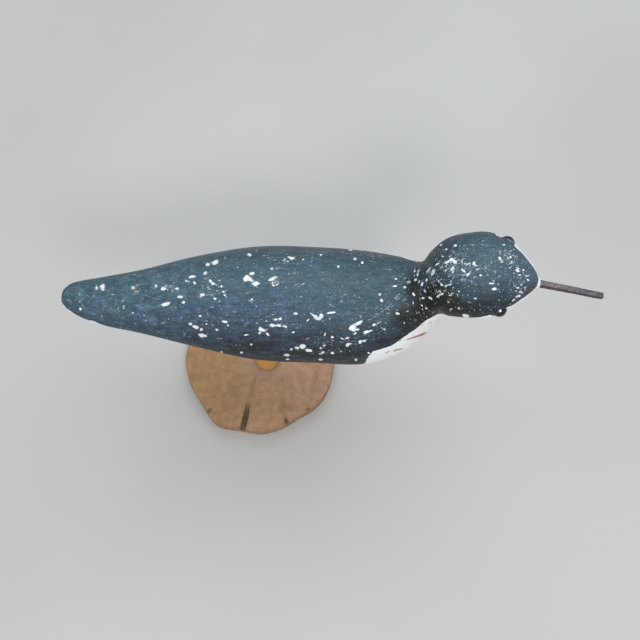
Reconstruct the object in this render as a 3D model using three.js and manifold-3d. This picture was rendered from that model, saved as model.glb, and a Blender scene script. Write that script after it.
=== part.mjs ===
/**
 * Wooden shorebird figurine: a folk carving on a stick and a slice of log.
 *
 * The bird's body, neck and head are one carving, with the head turned a little
 * to its right. A cut nail let into the face is the bill, two glass beads are
 * the eyes, and a dowel let into the belly and the slice holds the bird up.
 *
 * Units are millimetres and +Z is up. The origin is the centre of the slice's
 * underside, +X runs from the tail to the bill, and the bird's left side is +Y.
 */
import * as THREE from 'three';
import { mergeVertices } from 'three/addons/utils/BufferGeometryUtils.js';
import Module from 'manifold-3d';

const wasm = await Module();
wasm.setup();

// Play left between a piece and the socket it is let into.
const GAP = 0.3;

// The carving's ribs from tail to nose. A rib runs from a point on the line of
// the back to one on the line of the belly, both [x, z]. Half is its half width,
// and sway is how far its middle was carved off the bird's centre plane.
const RIBS = [
  { back: [-92.4, 101.6], belly: [-92.4, 101], half: 0.4, sway: 1.3 },
  { back: [-91.2, 103.6], belly: [-91.2, 99.2], half: 4.5, sway: 1 },
  { back: [-86, 105.4], belly: [-86, 98], half: 8.3, sway: 0.6 },
  { back: [-73, 109], belly: [-73, 94.6], half: 12.2, sway: -0.7 },
  { back: [-52, 114.2], belly: [-52, 88.8], half: 16.3, sway: -0.4 },
  { back: [-26, 120.2], belly: [-26, 82], half: 22.8, sway: 0.4 },
  { back: [4, 125.2], belly: [4, 75.8], half: 28.4, sway: 0.4 },
  { back: [34, 127.8], belly: [32, 72.2], half: 28.7, sway: 0.1 },
  { back: [55, 128.4], belly: [60, 73.8], half: 27.9, sway: -1 },
  { back: [70, 129.6], belly: [81, 81.6], half: 22.7, sway: -0.4 },
  { back: [79.6, 134.6], belly: [93.5, 96], half: 15.1, sway: 0.5 },
  { back: [83.4, 143.2], belly: [96.5, 114.5], half: 15.4, sway: 1.8 },
  { back: [88, 152.8], belly: [101, 124], half: 18.3, sway: 0.6 },
  { back: [97, 160.6], belly: [107, 127.4], half: 19.5, sway: -0.2 },
  { back: [109, 163], belly: [112, 128.8], half: 19.5, sway: -0.2 },
  { back: [121, 158.8], belly: [119.5, 131.4], half: 15.2, sway: -0.2 },
  { back: [129.4, 151.4], belly: [128.6, 135.6], half: 7.3, sway: 0.2 },
  { back: [132.5, 146.8], belly: [132.2, 139.4], half: 2.5, sway: -0.5 },
  { back: [133.4, 145.2], belly: [133.4, 140.8], half: 1.9, sway: -0.6 },
];
const BIRD_RINGS = 56;
const BIRD_SIDES = 36;

// The head is turned about an upright line, and the turn comes in over the
// ribs of the neck, counted from 0 at the tail.
const HEAD_TURN = THREE.MathUtils.degToRad(-4.3);
const HEAD_PIVOT_X = 90;
const NECK = { from: 9, to: 12 };

// Bill: a cut nail, parallel in width and tapered in depth, cut off square.
const BILL = {
  root: [134.2, -0.8, 143],
  droop: THREE.MathUtils.degToRad(14),
  reach: 30.5,
  tail: 9,
  width: 2.8,
  rootDepth: 3.3,
  tipDepth: 2.4,
  edge: 0.35,
};

// Eyes: beads set a little unevenly by hand, placed before the head's turn.
const BEAD = { diameter: 6.5, around: 18, up: 12 };
const EYES = {
  eye_left: [116.9, 13.1, 152.9],
  eye_right: [115.4, -16.4, 146.9],
};

// Leg: one dowel, let into the slice below and the belly above.
const LEG = { x: 4.4, y: 0.7, diameter: 14.3, inSlice: 4.6, inBelly: 20, bellyZ: 76, sides: 32 };

// Base: a slice sawn off a log. It is a little out of round, in waves that run
// all round it and in swells and hollows that are each in one direction.
const SLICE = { radius: 43.3, thickness: 8.4, edge: 0.5, sides: 90 };
const SLICE_WAVES = [
  { count: 2, height: 0.4, phase: 0.6 },
  { count: 3, height: 0.3, phase: 2.1 },
];
const SLICE_SWELLS = [
  { angle: -147, spread: 9, height: -0.6 },
  { angle: -121, spread: 12, height: 3 },
  { angle: -88, spread: 9, height: 0.9 },
  { angle: -56, spread: 14, height: -2.1 },
  { angle: 2, spread: 9, height: 0.9 },
  { angle: 48, spread: 14, height: 0.9 },
  { angle: 84, spread: 10, height: -0.8 },
  { angle: 122, spread: 16, height: 1.1 },
  { angle: 180, spread: 12, height: 0.4 },
];

// Drying cracks: wedges that open outwards to the slice's rim and stop above
// its underside. The angle is about the slice's centre, from +X towards +Y, and
// the long one starts as a shallow groove.
const CRACKS = [
  { angle: -101.2, start: 10.5, width: 3.8, depth: 1.6, bend: 0.3 },
  { angle: -101, start: 25, width: 4, depth: 6.6, bend: 0.2 },
  { angle: -65, start: 34, width: 2, depth: 5, bend: 0.3 },
  { angle: -132, start: 39.5, width: 1.9, depth: 3.6, bend: 0 },
  { angle: -45.5, start: 39.8, width: 1.6, depth: 3.6, bend: 0 },
  { angle: -35, start: 41, width: 1.4, depth: 3, bend: 0 },
  { angle: 64, start: 36, width: 1.8, depth: 4.2, bend: 0.2 },
  { angle: 151, start: 38.5, width: 1.5, depth: 3.4, bend: 0 },
];

// How far a crack's cutter reaches past the slice's rim and upper face.
const CRACK_OVERCUT = 4;

const paintedWood = new THREE.MeshStandardMaterial({ color: '#4c606a', roughness: 0.62 });
const rustyIron = new THREE.MeshStandardMaterial({ color: '#6c6a68', roughness: 0.68, metalness: 0.6 });
const blackGlass = new THREE.MeshStandardMaterial({ color: '#141416', roughness: 0.12 });
const orangePaint = new THREE.MeshStandardMaterial({ color: '#ad8042', roughness: 0.6 });
const bareEndGrain = new THREE.MeshStandardMaterial({ color: '#957758', roughness: 0.85 });

/** A closed solid for joining and cutting, made from a closed geometry. */
function toSolid(geometry) {
  const bare = geometry.clone();
  bare.deleteAttribute('normal');
  bare.deleteAttribute('uv');
  const merged = mergeVertices(bare);
  return new wasm.Manifold(
    new wasm.Mesh({
      numProp: 3,
      vertProperties: new Float32Array(merged.attributes.position.array),
      triVerts: new Uint32Array(merged.index.array),
    }),
  );
}

/** A geometry from a solid, flat shaded between its faces. */
function toGeometry(solid) {
  const { numProp, vertProperties, triVerts } = solid.getMesh();
  const positions = [];
  for (let i = 0; i < vertProperties.length; i += numProp) {
    positions.push(...vertProperties.subarray(i, i + 3));
  }
  const geometry = new THREE.BufferGeometry();
  geometry.setAttribute('position', new THREE.Float32BufferAttribute(positions, 3));
  geometry.setIndex(Array.from(triVerts));
  geometry.computeVertexNormals();
  return geometry;
}

/** The geometry less each of the cutters, which are closed geometries. */
function cut(geometry, cutters) {
  const solid = cutters.reduce((left, cutter) => left.subtract(toSolid(cutter)), toSolid(geometry));
  return toGeometry(solid);
}

/** A named mesh at a place. */
function piece(name, geometry, material, position = [0, 0, 0]) {
  const mesh = new THREE.Mesh(geometry, material);
  mesh.name = name;
  mesh.position.set(...position);
  return mesh;
}

/** A smooth line through one pair of numbers from each rib. */
function lineThrough(pair) {
  return new THREE.SplineCurve(RIBS.map((rib) => new THREE.Vector2(...pair(rib))));
}

const backLine = lineThrough((rib) => rib.back);
const bellyLine = lineThrough((rib) => rib.belly);
const breadthLine = lineThrough((rib) => [rib.half, rib.sway]);

/** The rib at t, from 0 at the tail to 1 at the nose. */
function ribAt(t) {
  const back = backLine.getPoint(t);
  const belly = bellyLine.getPoint(t);
  const breadth = breadthLine.getPoint(t);
  return {
    middle: back.clone().add(belly).multiplyScalar(0.5),
    rise: back.clone().sub(belly).multiplyScalar(0.5),
    half: breadth.x,
    sway: breadth.y,
  };
}

/** Values of t for rings that lie evenly over the carving's skin. */
function evenRings(count) {
  const samples = 1200;
  const travelled = [0];
  let last = ribAt(0);
  for (let i = 1; i <= samples; i += 1) {
    const rib = ribAt(i / samples);
    const along = rib.middle.distanceTo(last.middle);
    const swell = Math.hypot(rib.half - last.half, rib.rise.length() - last.rise.length());
    travelled.push(travelled[i - 1] + Math.hypot(along, swell));
    last = rib;
  }
  const total = travelled[samples];
  const rings = [];
  let i = 0;
  for (let ring = 0; ring <= count; ring += 1) {
    const goal = (total * ring) / count;
    while (i < samples - 1 && travelled[i + 1] < goal) i += 1;
    const part = (goal - travelled[i]) / (travelled[i + 1] - travelled[i]);
    rings.push((i + part) / samples);
  }
  return rings;
}

/** How far the rib at t takes part in the head's turn, from 0 to 1. */
function headShare(t) {
  return THREE.MathUtils.smoothstep(t * (RIBS.length - 1), NECK.from, NECK.to);
}

/** The matrix that turns the head, or a share of it. */
function headTurn(share = 1) {
  return new THREE.Matrix4()
    .makeTranslation(HEAD_PIVOT_X, 0, 0)
    .multiply(new THREE.Matrix4().makeRotationZ(HEAD_TURN * share))
    .multiply(new THREE.Matrix4().makeTranslation(-HEAD_PIVOT_X, 0, 0));
}

/** The bird's skin: a sphere drawn out along the ribs, with poles at tail and nose. */
function carvedSkin() {
  const geometry = new THREE.SphereGeometry(1, BIRD_SIDES, BIRD_RINGS);
  const position = geometry.attributes.position;
  const point = new THREE.Vector3();
  evenRings(BIRD_RINGS).forEach((t, ring) => {
    const rib = ribAt(t);
    const turn = headTurn(headShare(t));
    const open = ring === 0 || ring === BIRD_RINGS ? 0 : 1;
    for (let side = 0; side <= BIRD_SIDES; side += 1) {
      const angle = (-2 * Math.PI * (side % BIRD_SIDES)) / BIRD_SIDES;
      const across = rib.sway + open * rib.half * Math.cos(angle);
      const up = open * Math.sin(angle);
      point.set(rib.middle.x + rib.rise.x * up, across, rib.middle.y + rib.rise.y * up);
      point.applyMatrix4(turn);
      position.setXYZ(ring * (BIRD_SIDES + 1) + side, point.x, point.y, point.z);
    }
  });
  return geometry;
}

/** The nail's side view along +X, extruded to its width, with worn edges. */
function nailGeometry(grow = 0) {
  const { reach, tail, width, rootDepth, tipDepth, edge } = BILL;
  const bevel = grow ? 0 : edge;
  const start = -tail - grow;
  const end = reach + grow;
  const rootHalf = rootDepth / 2 + grow;
  const tipHalf = tipDepth / 2 + grow;
  const outline = new THREE.Shape();
  outline.moveTo(start + bevel, -rootHalf + bevel);
  outline.lineTo(end - bevel, -tipHalf + bevel);
  outline.lineTo(end - bevel, tipHalf - bevel);
  outline.lineTo(start + bevel, rootHalf - bevel);
  outline.closePath();
  const depth = width + 2 * grow - 2 * bevel;
  const geometry = new THREE.ExtrudeGeometry(outline, {
    depth,
    bevelEnabled: bevel > 0,
    bevelThickness: bevel,
    bevelSize: bevel,
    bevelSegments: 1,
  });
  geometry.translate(0, 0, -depth / 2);
  geometry.rotateX(Math.PI / 2);
  return geometry;
}

/** The bill's group, which holds its place and droop before the head's turn. */
function billPlace() {
  const place = new THREE.Group();
  place.position.set(...BILL.root);
  place.rotation.y = BILL.droop;
  place.updateMatrix();
  return place;
}

/** The dowel between two heights, grown by a margin all round. */
function dowelGeometry(bottom, top, grow = 0) {
  const radius = LEG.diameter / 2 + grow;
  const geometry = new THREE.CylinderGeometry(radius, radius, top - bottom + 2 * grow, LEG.sides);
  geometry.rotateX(Math.PI / 2);
  geometry.translate(LEG.x, LEG.y, (bottom + top) / 2);
  return geometry;
}

/** An eye's bead about its own centre, grown by a margin all round. */
function beadGeometry(grow = 0) {
  return new THREE.SphereGeometry(BEAD.diameter / 2 + grow, BEAD.around, BEAD.up);
}

/** The carved bird with its sockets for the bill, the eyes and the leg. */
function carvedBird(legBottom, legTop) {
  const sockets = [dowelGeometry(legBottom, legTop, GAP)];
  for (const centre of Object.values(EYES)) {
    const socket = beadGeometry(GAP);
    socket.translate(...centre);
    sockets.push(socket.applyMatrix4(headTurn()));
  }
  sockets.push(nailGeometry(GAP).applyMatrix4(billPlace().matrix).applyMatrix4(headTurn()));
  return cut(carvedSkin(), sockets);
}

/** The slice's radius in a direction from its centre. */
function rimRadius(angle) {
  let radius = SLICE.radius;
  for (const { count, height, phase } of SLICE_WAVES) {
    radius += height * Math.cos(count * angle + phase);
  }
  for (const swell of SLICE_SWELLS) {
    const apart = angle - THREE.MathUtils.degToRad(swell.angle);
    const degrees = THREE.MathUtils.radToDeg(Math.atan2(Math.sin(apart), Math.cos(apart)));
    radius += swell.height * Math.exp(-((degrees / swell.spread) ** 2));
  }
  return radius;
}

/** A drying crack as a wedge in plan, sunk into the slice's upper face. */
function crackGeometry({ angle, start, width, depth, bend }) {
  const past = SLICE.radius + CRACK_OVERCUT;
  const halfWay = (start + past) / 2;
  const outline = new THREE.Shape();
  outline.moveTo(start, 0);
  outline.quadraticCurveTo(halfWay, -width / 4 - bend, past, -width / 2);
  outline.lineTo(past, width / 2);
  outline.quadraticCurveTo(halfWay, width / 4 - bend, start, 0);
  const geometry = new THREE.ExtrudeGeometry(outline, {
    depth: depth + CRACK_OVERCUT,
    bevelEnabled: false,
    curveSegments: 5,
  });
  geometry.translate(0, 0, SLICE.thickness - depth);
  geometry.rotateZ(THREE.MathUtils.degToRad(angle));
  return geometry;
}

/** The slice of log with its cracks and the hole for the leg. */
function logSlice(legBottom, legTop) {
  const outline = new THREE.Shape();
  for (let side = 0; side < SLICE.sides; side += 1) {
    const angle = (2 * Math.PI * side) / SLICE.sides;
    const radius = rimRadius(angle) - SLICE.edge;
    const corner = new THREE.Vector2(radius, 0).rotateAround(new THREE.Vector2(), angle);
    if (side === 0) outline.moveTo(corner.x, corner.y);
    else outline.lineTo(corner.x, corner.y);
  }
  outline.closePath();
  const geometry = new THREE.ExtrudeGeometry(outline, {
    depth: SLICE.thickness - 2 * SLICE.edge,
    bevelThickness: SLICE.edge,
    bevelSize: SLICE.edge,
    bevelSegments: 1,
  });
  geometry.translate(0, 0, SLICE.edge);
  return cut(geometry, [dowelGeometry(legBottom, legTop, GAP), ...CRACKS.map(crackGeometry)]);
}

/** The whole figurine as a tree of named pieces. */
function buildShorebird() {
  const legBottom = SLICE.thickness - LEG.inSlice;
  const legTop = LEG.bellyZ + LEG.inBelly;

  const shorebird = new THREE.Group();
  shorebird.add(piece('log_slice_base', logSlice(legBottom, legTop), bareEndGrain));
  shorebird.add(piece('leg_dowel', dowelGeometry(legBottom, legTop), orangePaint));
  shorebird.add(piece('carved_bird', carvedBird(legBottom, legTop), paintedWood));

  const head = new THREE.Group();
  head.applyMatrix4(headTurn());
  shorebird.add(head);
  const bill = billPlace();
  bill.add(piece('iron_bill', nailGeometry(), rustyIron));
  head.add(bill);
  for (const [name, centre] of Object.entries(EYES)) {
    head.add(piece(name, beadGeometry(), blackGlass, centre));
  }
  return shorebird;
}

export default buildShorebird();
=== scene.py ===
"""A wooden shorebird figurine, dressed: the painted carving, its nail bill, its
bead eyes, its dowel leg and the slice of log that it stands on.

Sizes are written in millimetres and become metres in the meshes. +X runs from
the tail to the bill, +Y is the bird's left and +Z is up. The origin is the
centre of the slice's underside.
"""

import logging
import math
from dataclasses import dataclass
from enum import Enum

import bmesh
import bpy
from mathutils import Matrix, Vector, kdtree, noise


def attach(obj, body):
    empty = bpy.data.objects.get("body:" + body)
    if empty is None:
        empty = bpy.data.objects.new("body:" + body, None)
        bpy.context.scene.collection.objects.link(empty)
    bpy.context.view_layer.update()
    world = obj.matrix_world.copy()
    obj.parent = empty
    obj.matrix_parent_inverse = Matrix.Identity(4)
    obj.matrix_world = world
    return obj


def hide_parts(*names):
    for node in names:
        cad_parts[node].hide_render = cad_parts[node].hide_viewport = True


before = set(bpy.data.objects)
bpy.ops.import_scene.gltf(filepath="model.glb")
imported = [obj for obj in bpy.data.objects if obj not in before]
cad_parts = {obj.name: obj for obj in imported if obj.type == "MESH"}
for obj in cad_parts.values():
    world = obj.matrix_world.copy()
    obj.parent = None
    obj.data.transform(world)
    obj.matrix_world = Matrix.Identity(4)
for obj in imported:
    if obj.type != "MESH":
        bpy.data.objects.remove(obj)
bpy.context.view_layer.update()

MM = 0.001
BODY = "root"

log = logging.getLogger("shorebird")


# Numbers


def smooth_step(value: float, low: float, high: float) -> float:
    """Return 0 below low, 1 above high and a smooth rise between."""
    part = max(0.0, min(1.0, (value - low) / (high - low)))
    return part * part * (3.0 - 2.0 * part)


def read_line(knots: tuple[tuple[float, float], ...], at: float) -> float:
    """Return the height of a line through knots, level past its ends.

    Args:
        knots: Pairs of place and height, in order of place.
        at: The place to read.

    Returns:
        The height there.
    """
    if at <= knots[0][0]:
        return knots[0][1]
    for (start, low), (end, high) in zip(knots, knots[1:]):
        if at <= end:
            return low + (high - low) * (at - start) / (end - start)
    return knots[-1][1]


def ripple(spot: Vector, grain: tuple[float, float, float], seed: float) -> float:
    """Return smooth noise between about -1 and 1.

    Args:
        spot: A place in millimetres.
        grain: The size of a ripple along X, Y and Z.
        seed: A shift that makes one noise unlike the next.

    Returns:
        The noise there.
    """
    scaled = Vector((spot.x / grain[0], spot.y / grain[1], spot.z / grain[2]))
    return noise.noise(scaled + Vector((seed, -seed, 0.37 * seed)))


def hill(distance: float, width: float) -> float:
    """Return 1 at no distance, falling off to nothing over about twice a width."""
    return math.exp(-((distance / width) ** 2))


# The photograph's view


@dataclass(frozen=True)
class Viewpoint:
    """Where the photograph was taken from.

    The point that is sighted is where the leg enters the slice, and its pixel
    is counted across and down in the photograph's square frame.
    """

    sighted: tuple[float, float, float] = (4.4, 0.0, 10.0)
    sighted_pixel: tuple[float, float] = (267.5, 358.7)
    depth: float = 523.8
    elevation: float = 70.0
    azimuth: float = 1.3
    lens: float = 50.0
    sensor: float = 36.0
    frame_pixels: float = 640.0

    @property
    def turn(self) -> Matrix:
        """Return the camera's turn, which looks down its own -Z."""
        tip = Matrix.Rotation(math.radians(90.0 - self.elevation), 3, "X")
        return Matrix.Rotation(math.radians(self.azimuth), 3, "Z") @ tip

    @property
    def focal_pixels(self) -> float:
        """Return the focal length in pixels."""
        return self.lens / self.sensor * self.frame_pixels

    @property
    def place(self) -> Vector:
        """Return the camera's place in millimetres."""
        across = (self.sighted_pixel[0] - self.frame_pixels / 2) / self.focal_pixels
        down = (self.sighted_pixel[1] - self.frame_pixels / 2) / self.focal_pixels
        offset = self.turn @ Vector((across, -down, -1.0)) * self.depth
        return Vector(self.sighted) - offset

    def pixel(self, spot: Vector, turn: Matrix, place: Vector) -> tuple[float, float]:
        """Return the pixel that shows a place.

        Args:
            spot: The place in millimetres.
            turn: The camera's turn, inverted.
            place: The camera's place in millimetres.

        Returns:
            How far across and down the photograph it is, in pixels.
        """
        seen = turn @ (spot - place)
        scale = self.focal_pixels / -seen.z
        middle = self.frame_pixels / 2
        return middle + seen.x * scale, middle - seen.y * scale

    def set_camera(self) -> None:
        """Stand the scene's camera where the photograph was taken."""
        camera = bpy.data.cameras.new("viewpoint")
        camera.lens = self.lens
        camera.sensor_width = self.sensor
        camera.clip_start = 10 * MM
        camera.clip_end = 20000 * MM
        stand = bpy.data.objects.new("viewpoint", camera)
        stand.matrix_world = Matrix.Translation(self.place * MM) @ self.turn.to_4x4()
        bpy.context.scene.collection.objects.link(stand)
        bpy.context.scene.camera = stand


VIEW = Viewpoint()


# Shader maths


class Signal:
    """What one output socket of a shader tree carries over a surface."""

    def __init__(self, tree: "Shader", socket: bpy.types.NodeSocket) -> None:
        """Wrap a socket of a tree."""
        self.tree = tree
        self.socket = socket

    def math(self, operation: str, *values: "Signal | float") -> "Signal":
        """Return what a Math node makes of some values."""
        return self.tree.add("ShaderNodeMath", {"operation": operation}, dict(enumerate(values)))

    def __add__(self, other: "Signal | float") -> "Signal":
        """Return the sum."""
        return self.math("ADD", self, other)

    def __radd__(self, other: float) -> "Signal":
        """Return the sum."""
        return self.math("ADD", other, self)

    def __sub__(self, other: "Signal | float") -> "Signal":
        """Return the difference."""
        return self.math("SUBTRACT", self, other)

    def __rsub__(self, other: float) -> "Signal":
        """Return the number less this signal."""
        return self.math("SUBTRACT", other, self)

    def __mul__(self, other: "Signal | float") -> "Signal":
        """Return the product."""
        return self.math("MULTIPLY", self, other)

    def __rmul__(self, other: float) -> "Signal":
        """Return the product."""
        return self.math("MULTIPLY", other, self)

    def __truediv__(self, other: "Signal | float") -> "Signal":
        """Return the quotient."""
        return self.math("DIVIDE", self, other)

    def most(self, other: "Signal | float") -> "Signal":
        """Return the greater of the two."""
        return self.math("MAXIMUM", self, other)

    def least(self, other: "Signal | float") -> "Signal":
        """Return the lesser of the two."""
        return self.math("MINIMUM", self, other)

    def ramp(self, low: float, high: float, start: float = 0.0, end: float = 1.0) -> "Signal":
        """Return start below low, end above high and a smooth change between.

        Args:
            low: The value where the change begins.
            high: The value where it is complete.
            start: The result at low.
            end: The result at high.

        Returns:
            The result.
        """
        if low > high:
            low, high, start, end = high, low, end, start
        sockets = {"Value": self, "From Min": low, "From Max": high, "To Min": start, "To Max": end}
        settings = {"interpolation_type": "SMOOTHSTEP", "clamp": True}
        return self.tree.add("ShaderNodeMapRange", settings, sockets)


Colour = tuple[float, float, float]
Value = Signal | float | tuple


class Shader:
    """A material's node tree, written as expressions."""

    def __init__(self, name: str) -> None:
        """Start a material with an empty tree."""
        self.material = bpy.data.materials.new(name)
        self.material.use_nodes = True
        self.tree = self.material.node_tree
        self.tree.nodes.clear()
        self.here = self.add("ShaderNodeTexCoord", {}, {}, "Object")

    def add(self, kind: str, settings: dict, sockets: dict, output: int | str = 0) -> Signal:
        """Add a node.

        Args:
            kind: The node's type.
            settings: Its own settings, which are set before its sockets.
            sockets: Values or signals for its inputs, by name or number.
            output: The output to return.

        Returns:
            That output as a signal.
        """
        node = self.tree.nodes.new(kind)
        for name, value in settings.items():
            setattr(node, name, value)
        for name, value in sockets.items():
            if isinstance(value, Signal):
                self.tree.links.new(value.socket, node.inputs[name])
            else:
                node.inputs[name].default_value = value
        return Signal(self, node.outputs[output])

    def reading(self, name: str) -> Signal:
        """Return a number that the mesh keeps at its points."""
        return self.add("ShaderNodeAttribute", {"attribute_name": name}, {}, "Fac")

    def vector(self, operation: str, *values: Value) -> Signal:
        """Return the vector that a Vector Math node makes of some values."""
        return self.add("ShaderNodeVectorMath", {"operation": operation}, dict(enumerate(values)))

    def join(self, x: Value, y: Value, z: Value) -> Signal:
        """Return a vector made of three numbers."""
        return self.add("ShaderNodeCombineXYZ", {}, {"X": x, "Y": y, "Z": z})

    def part(self, vector: Signal, axis: str) -> Signal:
        """Return one of a vector's three numbers."""
        return self.add("ShaderNodeSeparateXYZ", {}, {0: vector}, axis)

    def grain(self, size: tuple[float, float, float]) -> Signal:
        """Return the place on the object, counted in grains of a size in millimetres."""
        return self.vector("MULTIPLY", self.here, tuple(1.0 / (MM * step) for step in size))

    def turned(self, degrees: tuple[float, float, float], centre: tuple[float, float, float]) -> Signal:
        """Return the place in millimetres, from a centre and turned about it.

        Args:
            degrees: The turn about X, Y and Z.
            centre: The place that becomes zero, in millimetres.

        Returns:
            The turned place.
        """
        millimetres = self.vector("MULTIPLY", self.here, (1 / MM,) * 3)
        centred = self.vector("SUBTRACT", millimetres, centre)
        turn = tuple(math.radians(value) for value in degrees)
        return self.add("ShaderNodeMapping", {}, {"Vector": centred, "Rotation": turn})

    def clouds(self, place: Signal, shift: float, detail: float = 3.0, rough: float = 0.5) -> Signal:
        """Return noise from 0 to 1.

        Args:
            place: The place, counted in grains.
            shift: A number that makes one noise unlike the next.
            detail: How many finer layers it has.
            rough: How strong those are.

        Returns:
            The noise.
        """
        sockets = {"Vector": place, "W": shift, "Scale": 1.0, "Detail": detail, "Roughness": rough}
        return self.add("ShaderNodeTexNoise", {"noise_dimensions": "4D"}, sockets)

    def wander(self, place: Signal, by: Signal, amount: float) -> Signal:
        """Return a place pushed about by a noise's colour.

        Args:
            place: The place to push.
            by: The place, in grains, that the noise is read at.
            amount: The most that it is pushed.

        Returns:
            The pushed place.
        """
        sockets = {"Vector": by, "W": 7.3, "Scale": 1.0, "Detail": 2.0}
        tint = self.add("ShaderNodeTexNoise", {"noise_dimensions": "4D"}, sockets, "Color")
        push = self.vector("MULTIPLY", self.vector("SUBTRACT", tint, (0.5,) * 3), (2 * amount,) * 3)
        return self.vector("ADD", place, push)

    def specks(self, place: Signal, share: float, least: float, most: float) -> Signal:
        """Return specks, each in a cell of its own: 1 inside and 0 outside.

        Args:
            place: The place, counted in cells.
            share: The share of cells that hold a speck, or a signal of it.
            least: The radius of the smallest speck, in cells.
            most: The radius of the largest.

        Returns:
            The mask.
        """
        cell = self.tree.nodes.new("ShaderNodeTexVoronoi")
        cell.inputs["Scale"].default_value = 1.0
        self.tree.links.new(place.socket, cell.inputs["Vector"])
        lot = self.add("ShaderNodeSeparateColor", {}, {0: Signal(self, cell.outputs["Color"])}, 0)
        size = self.add("ShaderNodeSeparateColor", {}, {0: Signal(self, cell.outputs["Color"])}, 1)
        radius = least + size * size * (most - least)
        there = self.vector("MULTIPLY", self.join(share - lot, 0.0, 0.0), (40.0, 0.0, 0.0))
        inside = (radius - Signal(self, cell.outputs["Distance"])).ramp(-0.03, 0.03)
        return inside * self.part(there, "X").ramp(0.0, 1.0)

    def mix(self, share: Value, first: Value, second: Value) -> Signal:
        """Return a blend of two colours."""
        colours = [(*c, 1.0) if isinstance(c, tuple) else c for c in (first, second)]
        settings = {"data_type": "RGBA", "clamp_factor": True}
        sockets = {0: share, 6: colours[0], 7: colours[1]}
        return self.add("ShaderNodeMix", settings, sockets, 2)

    def shaded(self, colour: Signal, strength: Signal) -> Signal:
        """Return a colour made stronger or weaker."""
        return self.vector("MULTIPLY", colour, self.join(strength, strength, strength))

    def bump(self, height: Signal, depth: float) -> Signal:
        """Return the normal of a relief whose height runs from 0 to 1.

        Args:
            height: The height.
            depth: What a height of 1 stands for, in millimetres.

        Returns:
            The normal.
        """
        return self.add("ShaderNodeBump", {}, {"Height": height, "Distance": depth * MM})

    def finish(self, sockets: dict) -> bpy.types.Material:
        """End the tree in a Principled shader with these inputs, and return the material."""
        surface = self.add("ShaderNodeBsdfPrincipled", {}, sockets)
        self.add_end(surface)
        return self.material

    def add_end(self, surface: Signal) -> None:
        """Link a surface to the material's output."""
        end = self.tree.nodes.new("ShaderNodeOutputMaterial")
        self.tree.links.new(surface.socket, end.inputs["Surface"])


# Finishes


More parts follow.
